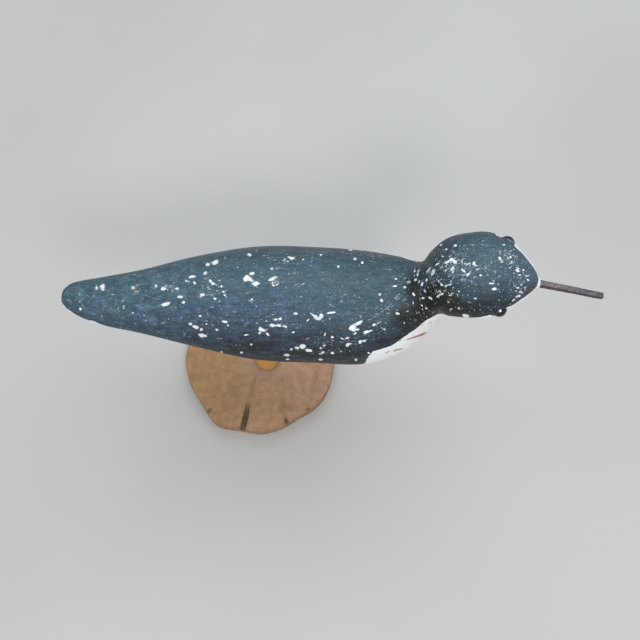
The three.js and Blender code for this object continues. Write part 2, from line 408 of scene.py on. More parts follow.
@dataclass(frozen=True)
class SlatePaint:
    """Thin slate blue paint brushed lengthwise over white, worn and flecked."""

    teal: Colour = (0.036, 0.077, 0.101)
    navy: Colour = (0.036, 0.065, 0.121)
    # Pale mauve: worn paint, and painted light on the far side.
    pale_wear_and_light: Colour = (0.135, 0.160, 0.182)
    dusty: Colour = (0.112, 0.188, 0.228)
    # Green-black: painted shade on the low sides and the nape, and random darker patches of wear.
    soot_and_shade: Colour = (0.014, 0.017, 0.016)
    # Olive-black: painted shade on the near lower side of the neck.
    olive_shade: Colour = (0.008, 0.009, 0.005)
    rubbed: Colour = (0.30, 0.31, 0.27)
    undercoat: Colour = (0.77, 0.81, 0.82)
    white: Colour = (0.80, 0.80, 0.81)
    stained: Colour = (0.50, 0.47, 0.42)
    bare: Colour = (0.54, 0.265, 0.155)
    bare_dark: Colour = (0.30, 0.16, 0.105)

    def material(self) -> bpy.types.Material:
        """Return the material, which reads the marks kept on the carving's mesh."""
        s = Shader("worn_slate_paint")
        along = s.reading("along")
        around = s.reading("around")
        skin = s.join(along, around, 0.0)

        dark = self.dark_coat(s, skin, around)
        white, brushed = self.white_coat(s)
        jitter = s.clouds(s.grain((0.75, 0.6, 0.6)), 2.0, 3.0, 0.65) - 0.5
        flaked = self.flakes(s, skin, jitter)
        dark = s.mix(flaked, dark, self.undercoat)

        edge_wave = s.clouds(s.grain((3.5, 3.5, 3.5)), 5.0, 3.0, 0.6) - 0.5
        side = (s.reading("white_side") + edge_wave * 0.8 + jitter * 0.4).ramp(-0.16, 0.16)
        colour = s.mix(side, dark, white)

        fibre = s.clouds(s.grain((4.0, 0.5, 0.5)), 9.0, 3.0)
        wood = s.mix(fibre.ramp(0.35, 0.65), self.bare_dark, self.bare)
        gouged = (0.9 - s.reading("gouge") + jitter * 1.2).ramp(-0.2, 0.3)
        colour = s.mix(gouged, colour, wood)

        rough_dark = s.clouds(s.vector("MULTIPLY", skin, (0.08, 0.4, 1.0)), 4.0).ramp(0.3, 0.7, 0.40, 0.58)
        rough = rough_dark + (side + flaked).least(1.0) * 0.2 + gouged * 0.15
        brush = s.clouds(s.vector("MULTIPLY", skin, (0.09, 1.9, 1.0)), 11.0, 4.0, 0.6)
        pits = s.clouds(s.grain((0.5, 0.5, 0.5)), 12.0, 2.0)
        coats = (1.0 - side) * (brush - flaked) * 0.5 + side * brushed * 0.35
        height = coats + pits * 0.22
        return s.finish({
            "Base Color": colour,
            "Roughness": rough,
            "Normal": s.bump(height - gouged * 0.8, 0.16),
            "Specular IOR Level": 0.27,
        })

    def dark_coat(self, s: Shader, skin: Signal, around: Signal) -> Signal:
        """Return the colour of the slate paint alone, with its painted shade and painted light.

        Args:
            s: The shader tree.
            skin: The place on the skin: millimetres along it and around it.
            around: Millimetres from the line of the back, positive to the left.

        Returns:
            The colour.
        """
        blotch = s.clouds(s.grain((26.0, 13.0, 13.0)), 1.0, 3.0, 0.55)
        front = s.part(s.here, "X").ramp(0.104, 0.126)
        nearer = around * s.part(skin, "X").ramp(60.0, 110.0, -1.5, -1.0)
        toward_navy = (nearer + front * 17.0 + (blotch - 0.5) * 34.0).ramp(1.0, 22.0)
        share = s.part(s.here, "X").ramp(0.015, 0.055, 0.92, 0.40).most(front * 0.92)
        coat = s.mix(toward_navy * share, self.teal, self.navy)

        strokes = s.clouds(s.vector("MULTIPLY", skin, (0.055, 1.25, 1.0)), 3.0, 5.0, 0.62)
        scrub = s.clouds(s.grain((1.1, 0.9, 0.9)), 6.0, 4.0, 0.65)
        thin = (strokes * 0.6 + scrub * 0.4).ramp(0.44, 0.68) * (blotch + 0.25).least(1.0)
        coat = s.mix(thin * 0.6, coat, self.dusty)
        hazy = s.clouds(s.grain((6.0, 3.0, 3.0)), 27.0, 4.0, 0.7).ramp(0.48, 0.62)
        tail = s.part(skin, "X").ramp(60.0, 110.0, 1.0, 0.12)
        coat = s.mix(hazy * tail * 0.5, coat, self.dusty)
        pepper = s.clouds(s.grain((0.8, 0.65, 0.65)), 21.0, 3.0, 0.7).ramp(0.32, 0.68, 0.68, 1.4)
        cloudy = s.clouds(s.grain((3.0, 2.0, 2.0)), 22.0, 2.0).ramp(0.3, 0.7, 0.86, 1.16)
        coat = s.shaded(coat, pepper * cloudy)
        # Paler towards the far side: partly worn paint, partly painted light on the side the light comes
        # from; the head's front gets half as much.
        far_edge = around.ramp(13.0, 30.0)
        coat = s.mix(far_edge.most(front * 0.5) * 0.42, coat, self.pale_wear_and_light)
        # Painted shadow: the back just behind the neck, shaded by the head, is darkened by up to 15 percent.
        shoulder_shadow = s.part(s.here, "X").ramp(0.040, 0.060) * s.part(s.here, "X").ramp(0.086, 0.070)
        coat = s.shaded(coat, 1.0 - shoulder_shadow * 0.15)

        worn_in = (1.0 - s.clouds(s.grain((9.0, 3.0, 3.0)), 8.0, 4.0, 0.6)).ramp(0.40, 0.62)
        # Painted shade: the low sides and the nape under the head are darkened towards green-black; worn_in
        # adds random darker patches of wear.
        low_shade = s.reading("low_side_shade") * worn_in.ramp(0.0, 1.0, 0.86, 1.14)
        low_shade = low_shade * s.part(skin, "X").ramp(50.0, 105.0, 0.62, 1.0)
        coat = s.mix((low_shade + worn_in * 0.20 + s.reading("nape") * 0.50).least(0.97), coat, self.soot_and_shade)
        patchy = s.clouds(s.grain((1.5, 1.2, 1.2)), 14.0, 4.0, 0.7)
        # Painted shade: the near lower side of the neck, under the head, is darkened towards olive-black in
        # its marked patches.
        neck_shaded = (1.3 - s.reading("grime") + (patchy - 0.5) * 1.6).ramp(0.0, 1.5)
        coat = s.mix(neck_shaded * 0.96, coat, self.olive_shade)
        rubbed = (1.5 - s.reading("rub")).ramp(0.0, 1.3) * patchy.ramp(0.44, 0.66)
        return s.mix(rubbed * 0.5, coat, self.rubbed)

    def flakes(self, s: Shader, skin: Signal, jitter: Signal) -> Signal:
        """Return where the slate paint is gone, from 0 to 1.

        Args:
            s: The shader tree.
            skin: The place on the skin: millimetres along it and around it.
            jitter: Fine noise about zero, which makes the edges ragged.

        Returns:
            The mask.
        """
        flake = s.reading("flake")
        mottle = s.clouds(s.grain((0.7, 0.6, 0.6)), 18.0, 3.0, 0.7)
        faded = s.clouds(s.grain((4.5, 3.5, 3.5)), 23.0, 2.0).ramp(0.34, 0.54, 0.74, 1.0)
        lumps = s.clouds(s.grain((1.7, 1.2, 1.2)), 26.0, 2.0) - 0.48
        ragged = (1.0 - flake + jitter * 2.2 + lumps * 3.2).ramp(-0.2, 0.35)
        fainter = s.part(skin, "X").ramp(70.0, 110.0, 0.82, 1.0)
        measured = ragged * mottle.ramp(0.25, 0.5, 0.72, 1.0) * faded * fainter
        thinned = (2.6 - flake).ramp(0.0, 1.8) * mottle.ramp(0.50, 0.66) * 0.30
        scuffed = (1.3 - s.reading("scuff")).ramp(0.0, 1.1) * mottle.ramp(0.42, 0.62) * 0.42
        crowd = s.clouds(s.grain((22.0, 16.0, 16.0)), 10.0, 2.0).ramp(0.42, 0.66)
        rough_skin = s.wander(skin, s.grain((1.2, 1.2, 1.2)), 0.45)

        dust_place = s.vector("MULTIPLY", rough_skin, (0.85, 1.15, 1.0))
        far_edge = s.part(skin, "Y").ramp(13.0, 30.0)
        dusted = crowd * 0.20 + far_edge * 0.28 + 0.30
        dust = s.specks(dust_place, dusted, 0.12, 0.36) * mottle.ramp(0.35, 0.65, 0.06, 0.26)
        salt_place = s.vector("MULTIPLY", rough_skin, (0.50, 0.80, 1.0))
        # Fewer pale specks where the low sides carry painted shade.
        lit = 1.0 - s.reading("low_side_shade") * 0.6
        salt = s.specks(salt_place, crowd * 0.20 + 0.08, 0.08, 0.30) * mottle.ramp(0.3, 0.6, 0.18, 0.50) * lit
        crumb_place = s.vector("MULTIPLY", rough_skin, (0.20, 0.34, 1.0))
        crumbs = s.specks(crumb_place, crowd * 0.16 + 0.01, 0.05, 0.15) * 0.6
        nape_place = s.vector("MULTIPLY", rough_skin, (0.85, 0.36, 1.0))
        strokes = s.specks(nape_place, s.reading("nape") * 0.6, 0.08, 0.32) * mottle.ramp(0.3, 0.6, 0.3, 0.85)
        head_place = s.vector("MULTIPLY", rough_skin, (1.0, 0.85, 1.0))
        head_share = s.reading("head") * (crowd * 0.35 + 0.22) * (1.0 - s.reading("low_side_shade"))
        pepper = s.specks(head_place, head_share, 0.12, 0.40) * mottle.ramp(0.35, 0.6, 0.10, 0.42)
        tilt = {"Vector": rough_skin, "Rotation": (0.0, 0.0, math.radians(40.0)), "Scale": (1.9, 0.75, 1.0)}
        tilted = s.add("ShaderNodeMapping", {"vector_type": "TEXTURE"}, tilt)
        lengthwise = s.vector("MULTIPLY", rough_skin, (0.42, 1.25, 1.0))
        on_head = s.reading("head")
        head_streaks = s.clouds(tilted, 24.0, 3.0, 0.62) * on_head
        streaks = head_streaks + s.clouds(lengthwise, 25.0, 3.0, 0.62) * (1.0 - on_head)
        worn_by = (1.35 - s.reading("worn")).ramp(0.0, 1.35)
        streaked = (streaks + worn_by * (on_head * 0.05 + 0.06)).ramp(0.655, 0.715) * worn_by.ramp(0.0, 0.2)
        worn = thinned.most(scuffed).most(dust).most(pepper).most(streaked * mottle.ramp(0.3, 0.6, 0.35, 0.9))
        return measured.most(worn).most(salt).most(crumbs).most(strokes)

    def white_coat(self, s: Shader) -> tuple[Signal, Signal]:
        """Return the colour of the white paint, and the height of its brush lines."""
        brushed = s.clouds(s.grain((7.0, 0.9, 2.2)), 15.0, 4.0, 0.6)
        stain = s.clouds(s.grain((6.0, 5.0, 5.0)), 16.0, 4.0, 0.6).ramp(0.56, 0.74)
        speck = s.clouds(s.grain((0.8, 0.8, 0.8)), 17.0, 3.0, 0.7).ramp(0.66, 0.74)
        lines = s.clouds(s.grain((0.9, 5.0, 1.6)), 19.0, 3.0, 0.6).ramp(0.52, 0.36)
        colour = s.mix(stain * 0.26 + lines * 0.24, self.white, self.stained)
        colour = s.mix(speck * 0.35, colour, self.bare)
        worn = s.mix((1.0 - s.reading("ding")).ramp(-0.2, 0.5) * 0.7, colour, self.stained)
        return worn, brushed


@dataclass(frozen=True)
class RustyIron:
    """Grey pitted iron, blue in places and at the tip, with brown rust, dark pits and painted shade on its
    flanks.
    """

    grey: Colour = (0.185, 0.168, 0.160)
    pale: Colour = (0.480, 0.455, 0.430)
    blue: Colour = (0.066, 0.096, 0.125)
    rust: Colour = (0.100, 0.058, 0.052)
    black: Colour = (0.022, 0.018, 0.017)

    def material(self) -> bpy.types.Material:
        """Return the material, which reads how near the tip, an edge and a flank a point is."""
        s = Shader("rusty_iron")
        tipward = s.reading("tipward")
        edge = s.reading("edge")
        flank = s.reading("flank")
        scale = s.clouds(s.grain((2.2, 0.9, 0.9)), 1.0, 4.0, 0.65)
        fine = s.clouds(s.grain((0.9, 0.55, 0.55)), 2.0, 4.0, 0.7)
        patch = s.clouds(s.grain((4.0, 1.6, 1.6)), 3.0, 3.0, 0.6)
        iron = s.mix((tipward * 0.8 + (patch - 0.5) * 2.6).ramp(0.25, 0.75), self.grey, self.blue)
        rusty = (edge * 0.20 + flank * 0.12 + scale * 1.3 - 0.10).ramp(0.52, 0.74)
        colour = s.mix(rusty * 0.85, iron, self.rust)
        colour = s.mix(fine.ramp(0.54, 0.66) * (1.0 - tipward * 0.6) * 0.62, colour, self.pale)
        # Painted shade on the flanks, mottled by the scale; the fine dark specks are pits.
        dark = (fine.ramp(0.52, 0.40) * 0.55 + flank * scale.ramp(0.35, 0.6, 0.45, 0.85)).least(0.9)
        colour = s.mix(dark, colour, self.black)
        metallic = (1.0 - rusty) * 0.45
        rough = fine.ramp(0.3, 0.7, 0.48, 0.74)
        height = scale * 0.6 + fine * 0.4
        sockets = {"Base Color": colour, "Metallic": metallic, "Roughness": rough}
        return s.finish({**sockets, "Normal": s.bump(height, 0.12)})


@dataclass(frozen=True)
class BlackBead:
    """Black glass, glossy, with the head's paint smeared over its inner edge."""

    glass: Colour = (0.006, 0.006, 0.008)
    smear: Colour = (0.070, 0.094, 0.112)

    def material(self) -> bpy.types.Material:
        """Return the material, which reads how deep in its socket a point is."""
        s = Shader("black_bead_glass")
        film = s.clouds(s.grain((1.6, 1.6, 1.6)), 1.0, 4.0, 0.6).ramp(0.45, 0.75)
        sunk = s.reading("sunk")
        smeared = (sunk + (s.clouds(s.grain((0.7, 0.7, 0.7)), 2.0, 3.0) - 0.5) * 0.12).ramp(0.27, 0.42)
        colour = s.mix(film * 0.03 + smeared * 0.85, self.glass, self.smear)
        rough = film * 0.03 + smeared * 0.5 + 0.04
        waviness = s.clouds(s.grain((2.2, 2.2, 2.2)), 3.0, 1.0)
        return s.finish({
            "Base Color": colour,
            "Roughness": rough,
            "Normal": s.bump(waviness, 0.012),
            "Specular IOR Level": 0.5,
        })


@dataclass(frozen=True)
class OrangePaint:
    """Ochre orange paint on a dowel, thin over the grain and scuffed."""

    orange: Colour = (0.58, 0.27, 0.050)
    ochre: Colour = (0.53, 0.325, 0.088)
    wood: Colour = (0.46, 0.31, 0.17)
    # Dark brown: grime, and painted shade at the leg's foot.
    grime: Colour = (0.11, 0.07, 0.04)

    def material(self) -> bpy.types.Material:
        """Return the material."""
        s = Shader("orange_leg_paint")
        tone = s.clouds(s.grain((5.0, 5.0, 16.0)), 1.0, 3.0)
        fibre = s.clouds(s.grain((0.5, 0.5, 9.0)), 2.0, 4.0, 0.6)
        colour = s.mix(tone.ramp(0.35, 0.65), self.orange, self.ochre)
        rubbed = (fibre * 0.6 + s.clouds(s.grain((2.5, 2.5, 5.0)), 3.0, 4.0) * 0.4).ramp(0.60, 0.68)
        colour = s.mix(rubbed * 0.7, colour, self.wood)
        height = s.part(s.here, "Z")
        # Painted shade: the leg darkens over its lowest few millimetres, where it meets the slice; the dirt
        # noise is real grime.
        foot = (height + (tone - 0.5) * 0.006).ramp(0.0150, 0.0085)
        dirt = s.clouds(s.grain((1.0, 1.0, 1.6)), 4.0, 4.0, 0.6).ramp(0.58, 0.72)
        colour = s.mix((dirt * 0.35 + foot * 0.30).least(1.0), colour, self.grime)
        rough = rubbed.ramp(0.0, 1.0, 0.46, 0.72)
        relief = fibre * 0.8 - rubbed * 0.4
        return s.finish({"Base Color": colour, "Roughness": rough, "Normal": s.bump(relief, 0.10)})


@dataclass(frozen=True)
class EndGrain:
    """Sawn end grain gone brown with age, pinkish to the right and ochre to the left."""

    tan: Colour = (0.340, 0.206, 0.113)
    ochre: Colour = (0.296, 0.174, 0.081)
    pink: Colour = (0.336, 0.201, 0.127)
    ring: Colour = (0.220, 0.125, 0.068)
    shade: Colour = (0.180, 0.110, 0.058)
    groove: Colour = (0.245, 0.165, 0.095)
    crack: Colour = (0.190, 0.125, 0.080)
    bark: Colour = (0.270, 0.125, 0.070)
    glue: Colour = (0.350, 0.255, 0.215)
    pith: tuple[float, float, float] = (3.0, 4.0, 0.0)
    ring_width: float = 2.3
    foot: tuple[float, float, float] = (4.4, 0.7, 0.0)

    def material(self) -> bpy.types.Material:
        """Return the material, which reads how deep in a crack and how near the rim a point is."""
        s = Shader("aged_end_grain")
        depth = s.reading("crack")
        rim = s.reading("rim")
        millimetres = s.vector("MULTIPLY", s.here, (1 / MM, 1 / MM, 0.0))
        from_pith = s.vector("SUBTRACT", millimetres, self.pith)
        bent = s.wander(from_pith, s.grain((16.0, 16.0, 16.0)), 4.4)
        radius = s.add("ShaderNodeVectorMath", {"operation": "LENGTH"}, {0: bent}, "Value")
        wave = radius.math("SINE", radius * (2 * math.pi / self.ring_width))
        faint = s.clouds(s.grain((11.0, 11.0, 11.0)), 1.0, 2.0).ramp(0.35, 0.65, 0.35, 1.0)
        rings = wave.ramp(-0.2, 1.0) * faint

        sideways = s.part(millimetres, "X")
        blotch = s.clouds(s.grain((15.0, 15.0, 15.0)), 2.0, 4.0, 0.6)
        colour = s.mix((sideways + (blotch - 0.5) * 60.0).ramp(-22.0, 4.0), self.ochre, self.tan)
        colour = s.mix((sideways + (blotch - 0.5) * 50.0).ramp(8.0, 36.0), colour, self.pink)
        colour = s.mix(rings * 0.13, colour, self.ring)
        patch = s.clouds(s.grain((9.0, 17.0, 9.0)), 3.0, 4.0, 0.6).ramp(0.50, 0.70)
        colour = s.mix(patch * 0.52, colour, self.shade)
        mottle = s.clouds(s.grain((4.5, 4.5, 4.5)), 8.0, 3.0, 0.6).ramp(0.3, 0.7, 0.84, 1.13)
        colour = s.shaded(colour, mottle)

        outward = s.vector("MULTIPLY", s.vector("NORMALIZE", bent), (24.0, 24.0, 0.0))
        fan = s.vector("ADD", outward, s.join(0.0, 0.0, radius * 0.05))
        rays = s.clouds(fan, 4.0, 3.0, 0.6)
        pores = s.clouds(s.grain((0.55, 0.55, 0.55)), 5.0, 3.0, 0.65)
        colour = s.mix(rays.ramp(0.55, 0.75) * 0.18 + pores.ramp(0.58, 0.72) * 0.28, colour, self.shade)
        saw = s.clouds(s.vector("MULTIPLY", s.turned((0, 0, 28), (0, 0, 0)), (0.03, 1.1, 1.0)), 6.0, 3.0, 0.5)
        colour = s.mix(saw.ramp(0.55, 0.72) * 0.16, colour, self.pink)

        from_foot = s.vector("SUBTRACT", millimetres, self.foot)
        reach = s.add("ShaderNodeVectorMath", {"operation": "LENGTH"}, {0: from_foot}, "Value")
        halo = (reach + (blotch - 0.5) * 14.0).ramp(20.0, 8.0) * (1.0 - depth)
        colour = s.mix(halo * 0.36, colour, self.glue)

        fleck = s.clouds(s.grain((2.6, 2.6, 2.6)), 7.0, 3.0, 0.6)
        barked = (rim * 0.7 + (fleck - 0.5) * 2.2).ramp(0.45, 0.95)
        colour = s.mix(barked * 0.7, colour, self.bark)
        colour = s.mix((depth + (pores - 0.5) * 0.12).ramp(0.02, 0.16) * 0.8, colour, self.groove)
        colour = s.mix((depth + (pores - 0.5) * 0.2).ramp(0.22, 0.85), colour, self.crack)
        rough = pores.ramp(0.3, 0.7, 0.78, 0.92)
        relief = pores * 0.5 + rings * 0.15 + saw * 0.25 + rays * 0.12
        return s.finish({"Base Color": colour, "Roughness": rough, "Normal": s.bump(relief, 0.22)})


@dataclass(frozen=True)
class PaleFloor:
    """A plain pale matt surface to stand the bird on."""

    pale: Colour = (0.46, 0.452, 0.435)
    warm: Colour = (0.43, 0.42, 0.40)

    def material(self) -> bpy.types.Material:
        """Return the material."""
        s = Shader("pale_floor")
        tone = s.clouds(s.grain((240.0, 240.0, 240.0)), 1.0, 3.0)
        fine = s.clouds(s.grain((1.2, 1.2, 1.2)), 2.0, 3.0)
        colour = s.mix(tone.ramp(0.3, 0.7), self.pale, self.warm)
        return s.finish({"Base Color": colour, "Roughness": 0.85, "Normal": s.bump(fine, 0.05)})


# Marks on the paint, and patches of painted shade, measured in the photograph


@dataclass(frozen=True)
class Mark:
    """An oval mark on the carving, as the photograph shows it.

    The centre and the two diameters are in pixels of the photograph's frame,
    and lean is the turn of the first diameter, up to the right, in degrees.
    """

    across: float
    down: float
    length: float
    width: float
    lean: float = 0.0

    def measure(self, across: float, down: float) -> float:
        """Return 0 at the mark's centre, 1 on its edge and more outside.

        Args:
            across: A pixel's place across the frame.
            down: Its place down the frame.

        Returns:
            The square of the distance, counted in the mark's own radii.
        """
        right = across - self.across
        up = self.down - down
        cosine = math.cos(math.radians(self.lean))
        sine = math.sin(math.radians(self.lean))
        ahead = (right * cosine + up * sine) / (self.length / 2)
        aside = (up * cosine - right * sine) / (self.width / 2)
        return ahead * ahead + aside * aside


class Kind(Enum):
    """What a mark is. The value is the name that the mesh keeps it under."""

    FLAKE = "flake"
    SCUFF = "scuff"
    WORN = "worn"
    RUB = "rub"
    # Patches of painted shade under the neck.
    GRIME = "grime"
    GOUGE = "gouge"
    DING = "ding"


TAIL_FLAKES = (
    Mark(102.5, 287.2, 5.2, 6.4), Mark(96.5, 287.7, 2.9, 3.1), Mark(133, 287.8, 3.4, 3.2),
    Mark(80.3, 309, 2.8, 2.6), Mark(155.8, 285.8, 3.6, 3.2), Mark(163.5, 288.6, 5.6, 3.6),
    Mark(177, 288.5, 3.2, 2.6), Mark(180, 296.8, 5.2, 3, -5), Mark(183.2, 302.3, 3.6, 2.7),
    Mark(165.5, 304.2, 8.2, 3.6, 18), Mark(192, 276.5, 7.4, 2.4, 6), Mark(205.4, 273.1, 4, 3.2),
    Mark(207.7, 264.4, 4.4, 2.9, 12), Mark(215.2, 262.3, 7.2, 4, 18), Mark(186.2, 280.8, 2.6, 2.4),
    Mark(194.4, 282.8, 3.2, 2.2, -20), Mark(210.2, 280.8, 3, 2.6), Mark(213.5, 283.3, 3.8, 2.8),
    Mark(221.4, 286.1, 2.8, 2.4), Mark(223.8, 291.9, 3.2, 2.4), Mark(224.9, 295, 2.2, 1.8),
    Mark(201.9, 294.8, 5.8, 3.8, 36), Mark(214.8, 298.7, 3.2, 2.2), Mark(199.8, 315.9, 2.8, 2.4),
    Mark(224.7, 321.8, 5.6, 2.4, -14), Mark(190.4, 324.1, 3.6, 2.6), Mark(195.8, 327.1, 6.4, 3.2, -16),
    Mark(201.3, 329.6, 3.4, 2.6), Mark(202.2, 335.5, 7.6, 3.6, -12), Mark(217.1, 329.9, 3.4, 2.2, -20),
    Mark(206, 324.2, 2.6, 1.8), Mark(227.6, 325.5, 2.4, 1.6), Mark(221.3, 352.4, 2.6, 1.8),
)
BACK_FLAKES = (
    Mark(249.2, 254.6, 4.2, 2.6, -6), Mark(251.9, 273.4, 4.8, 3, 6), Mark(246.3, 278.2, 6.2, 4.8, 32),
    Mark(249.9, 279, 6.4, 3.2, -14), Mark(255.7, 283.3, 8.4, 4.2, 18), Mark(252, 299.2, 2.4, 1.8, -10),
    Mark(271.6, 268.8, 3.4, 2.4), Mark(270.4, 279.8, 5.4, 1.8, 10), Mark(273.4, 278.2, 5, 2.4, 34),
    Mark(276.3, 277, 2.4, 1.8, 20), Mark(273.4, 285.4, 3, 1.5, 10), Mark(277.2, 284.6, 3.6, 1.8, 40),
    Mark(272.6, 282.6, 1.6, 3, 10),
    Mark(289.6, 257, 4.4, 1.6, -20), Mark(292.1, 258, 5.2, 2.8, 5), Mark(284, 260, 4, 1.4, 20),
    Mark(287.8, 261.3, 2.4, 2), Mark(302.9, 259.2, 2.6, 2), Mark(320.8, 254.8, 2.4, 2.2),
    Mark(338.2, 266.4, 2.6, 2.6), Mark(295.4, 284.2, 4.2, 0.9, -10), Mark(302.6, 284, 5, 0.9, 25),
    Mark(295.7, 313.6, 3.6, 3), Mark(275.7, 319.4, 4, 2.6, 10), Mark(280.3, 318.9, 3.4, 2.6, 20),
    Mark(272.3, 325.4, 6.8, 3, -2), Mark(279.2, 325.7, 5.2, 2.2, -18), Mark(285.2, 326.8, 4.8, 2.2, -28),
    Mark(261.9, 329.8, 6.6, 3.8, -22), Mark(267.7, 334.6, 4.8, 2, -52), Mark(259.4, 333.2, 2.8, 2.4),
    Mark(246.2, 335, 4.8, 1.5), Mark(251, 344.6, 3.2, 2.2), Mark(241.5, 352.9, 3, 2),
    Mark(311.8, 314.2, 6, 1.8, -34), Mark(315.8, 317.3, 5, 3.2, -42), Mark(318.7, 318.6, 4.6, 3.4),
    Mark(321.6, 315.9, 3.6, 4.2), Mark(307.5, 320.6, 4.8, 1.5, 48), Mark(330.2, 312.7, 8.4, 1.6, 8),
    Mark(333.2, 312.6, 3.2, 2.2), Mark(325, 334.5, 4.4, 1.9, 68), Mark(332, 337, 2.6, 2.2),
    Mark(296.9, 348.2, 4.4, 2.8, -6), Mark(302.9, 346.4, 5.4, 4.2, -8), Mark(308.4, 350.6, 6.8, 2.8, -4),
    Mark(286.7, 355.2, 6.6, 2.4, -4), Mark(287.6, 359.5, 4, 1.4), Mark(291.2, 349.4, 2.6, 2, 20),
    Mark(324.4, 345.6, 2.8, 2, 30), Mark(320.6, 348.2, 2.2, 2, 30), Mark(323.3, 352.4, 2.8, 2.2),
    Mark(320.4, 354, 3, 1.6, 10), Mark(332.4, 353.2, 3.6, 2.4, -14), Mark(320.8, 359.8, 4.4, 2.2),
    Mark(341, 351.4, 2, 1.6), Mark(293, 332.4, 3.8, 1.6, 20), Mark(297, 328, 2.6, 1.2, 40),
)
SHOULDER_FLAKES = (
    Mark(358.4, 323.2, 10, 3, 32), Mark(353, 326.4, 5, 2.8, 38), Mark(355.4, 329.8, 7.4, 2.4, 4),
    Mark(350.6, 328, 3.2, 4.2), Mark(354.6, 327.6, 5, 3.4, 35),
    Mark(366.2, 332.2, 5.4, 3, 24), Mark(370.6, 330.8, 5.4, 1.6, 12), Mark(374.2, 324.7, 4, 2.4, 24),
    Mark(378.6, 322.8, 5.2, 1.1, 24), Mark(355, 333.7, 3.6, 2, 24), Mark(341.6, 338.4, 6, 1.4, -30),
    Mark(347.2, 338.2, 6, 1.3, 18), Mark(347.6, 345, 3, 3.8, -30), Mark(350.6, 344, 3.6, 1.8, 6),
    Mark(360.2, 342, 3.6, 3.6, 20), Mark(364.4, 341, 3, 2.2, 10), Mark(381.4, 300.2, 4, 2.8, -44),
    Mark(379.8, 294.4, 2.4, 2.4), Mark(354.8, 258.8, 3.2, 2.6), Mark(362.2, 262.4, 2.8, 2.6),
    Mark(384.4, 329.2, 2.8, 2.4), Mark(332.3, 337.2, 2.8, 2.4), Mark(355.8, 360, 3, 2.4),
    Mark(368.6, 353.2, 2.6, 2.2), Mark(394.6, 286, 5.2, 1.7, 6), Mark(395.8, 278.8, 3.4, 2),
    Mark(404.6, 287.2, 3, 2.4), Mark(397.6, 313.6, 4, 2.4, -8), Mark(407.6, 311.2, 3.2, 1.2, 30),
)
HEAD_FLAKES = (
    Mark(454.8, 261.6, 6.4, 3, -36), Mark(451, 259.2, 5, 2.4, 30), Mark(446.6, 262.4, 5.6, 2, 12),
    Mark(437.2, 264, 5, 1.3, 32), Mark(452.2, 268.8, 5.4, 2.2, 52), Mark(474.2, 263, 3, 4.4, -14),
    Mark(463.6, 270.6, 6, 2.2, -42), Mark(467.8, 274.8, 3.4, 2.4, 24), Mark(432.8, 272.6, 7, 3, 62),
    Mark(429.2, 268.8, 6, 1.3, 50), Mark(427.6, 271.2, 3.4, 1.2, 50), Mark(438.2, 281.2, 3.4, 1.7, -66),
    Mark(441.6, 285, 3.4, 2.4, -60), Mark(446, 285.8, 3, 1.5, 30), Mark(449.8, 284.6, 3.6, 1.5, 20),
    Mark(450.8, 281.4, 2.6, 1.4, 60),
    Mark(424.6, 291.2, 4, 2, -62), Mark(413.4, 294.2, 4, 1.9, -50), Mark(430.2, 298.4, 4, 2.4, -34),
    Mark(423, 298.2, 3, 1.8), Mark(438.2, 296, 3.6, 1.8, 46), Mark(441.6, 294.2, 4, 2, 24),
    Mark(426.2, 280, 3.2, 2.2, 64), Mark(421.8, 284.2, 4.4, 2.2, 66), Mark(418.8, 281.8, 3, 1.4, 64),
    Mark(415.8, 279.6, 3, 1.8, 64), Mark(417.4, 274.4, 3.4, 1.4, 76), Mark(418.4, 270.6, 3.2, 1.3, 60),
    Mark(414.4, 271, 2.4, 1.4, 50), Mark(421.8, 305.6, 2.6, 1.6, -34), Mark(426.2, 308.4, 2.6, 1.6, -20),
    Mark(491.8, 283.4, 4.8, 1.8), Mark(494.6, 289, 5.2, 2.8), Mark(481.2, 275.2, 3.6, 1.8),
    Mark(489, 275.4, 1.6, 2.2), Mark(475.4, 298.4, 2.8, 2), Mark(499.8, 258, 3.4, 2.6, -30),
    Mark(510.6, 257, 2.6, 1.6, -30), Mark(518, 271, 5, 2.2, -32), Mark(518.2, 268.2, 3.6, 1.6, -24),
    Mark(523.6, 270, 2.4, 2), Mark(518.2, 296.4, 5.4, 2.2, 24), Mark(521.4, 292.2, 4.4, 2, -30),
    Mark(513.6, 300.4, 4, 1.6, 44), Mark(517.8, 287.8, 3.2, 1.6), Mark(525.4, 288, 1.6, 2),
    Mark(528, 279.8, 3, 1.7, -20), Mark(527.2, 275.8, 3.6, 1.4), Mark(519.8, 275, 2.6, 1.4),
    Mark(455, 245.4, 3.4, 2.4), Mark(446, 249, 2.6, 2), Mark(441, 244.6, 2.6, 1.8, 40),
    Mark(442.4, 256.2, 3.6, 1.4, -14), Mark(449.6, 256.4, 2, 1.6), Mark(467, 248.6, 2.8, 1.2, -20),
    Mark(479.6, 249.4, 4.2, 0.9, 44), Mark(458.8, 291.6, 2.4, 2), Mark(457.4, 294.8, 2, 1.6),
    Mark(449.6, 295.4, 1.8, 2), Mark(451, 309.4, 2.4, 1.6), Mark(458.6, 308.6, 2.2, 2),
    Mark(474.2, 310.4, 1.8, 1.8), Mark(465.6, 316, 7.4, 3.2, -14), Mark(504.6, 244.6, 2.4, 1.6),
    Mark(499.4, 276, 6, 1, 42), Mark(505.4, 273.6, 2.6, 0.9, -40), Mark(457.2, 303.8, 3.6, 0.9, 36),
    Mark(497, 234.4, 3.4, 1.8, -30), Mark(500.6, 236, 2.6, 1.6, -34), Mark(503.8, 244.6, 3, 1.8, -20),
)
EDGE_FLAKES = (
    Mark(410.5, 258.6, 8, 2, -18), Mark(350.5, 249.4, 4, 1.8, -4), Mark(94, 322.6, 9, 2.4, -22),
    Mark(63.6, 307, 9, 2.4, -50),
)
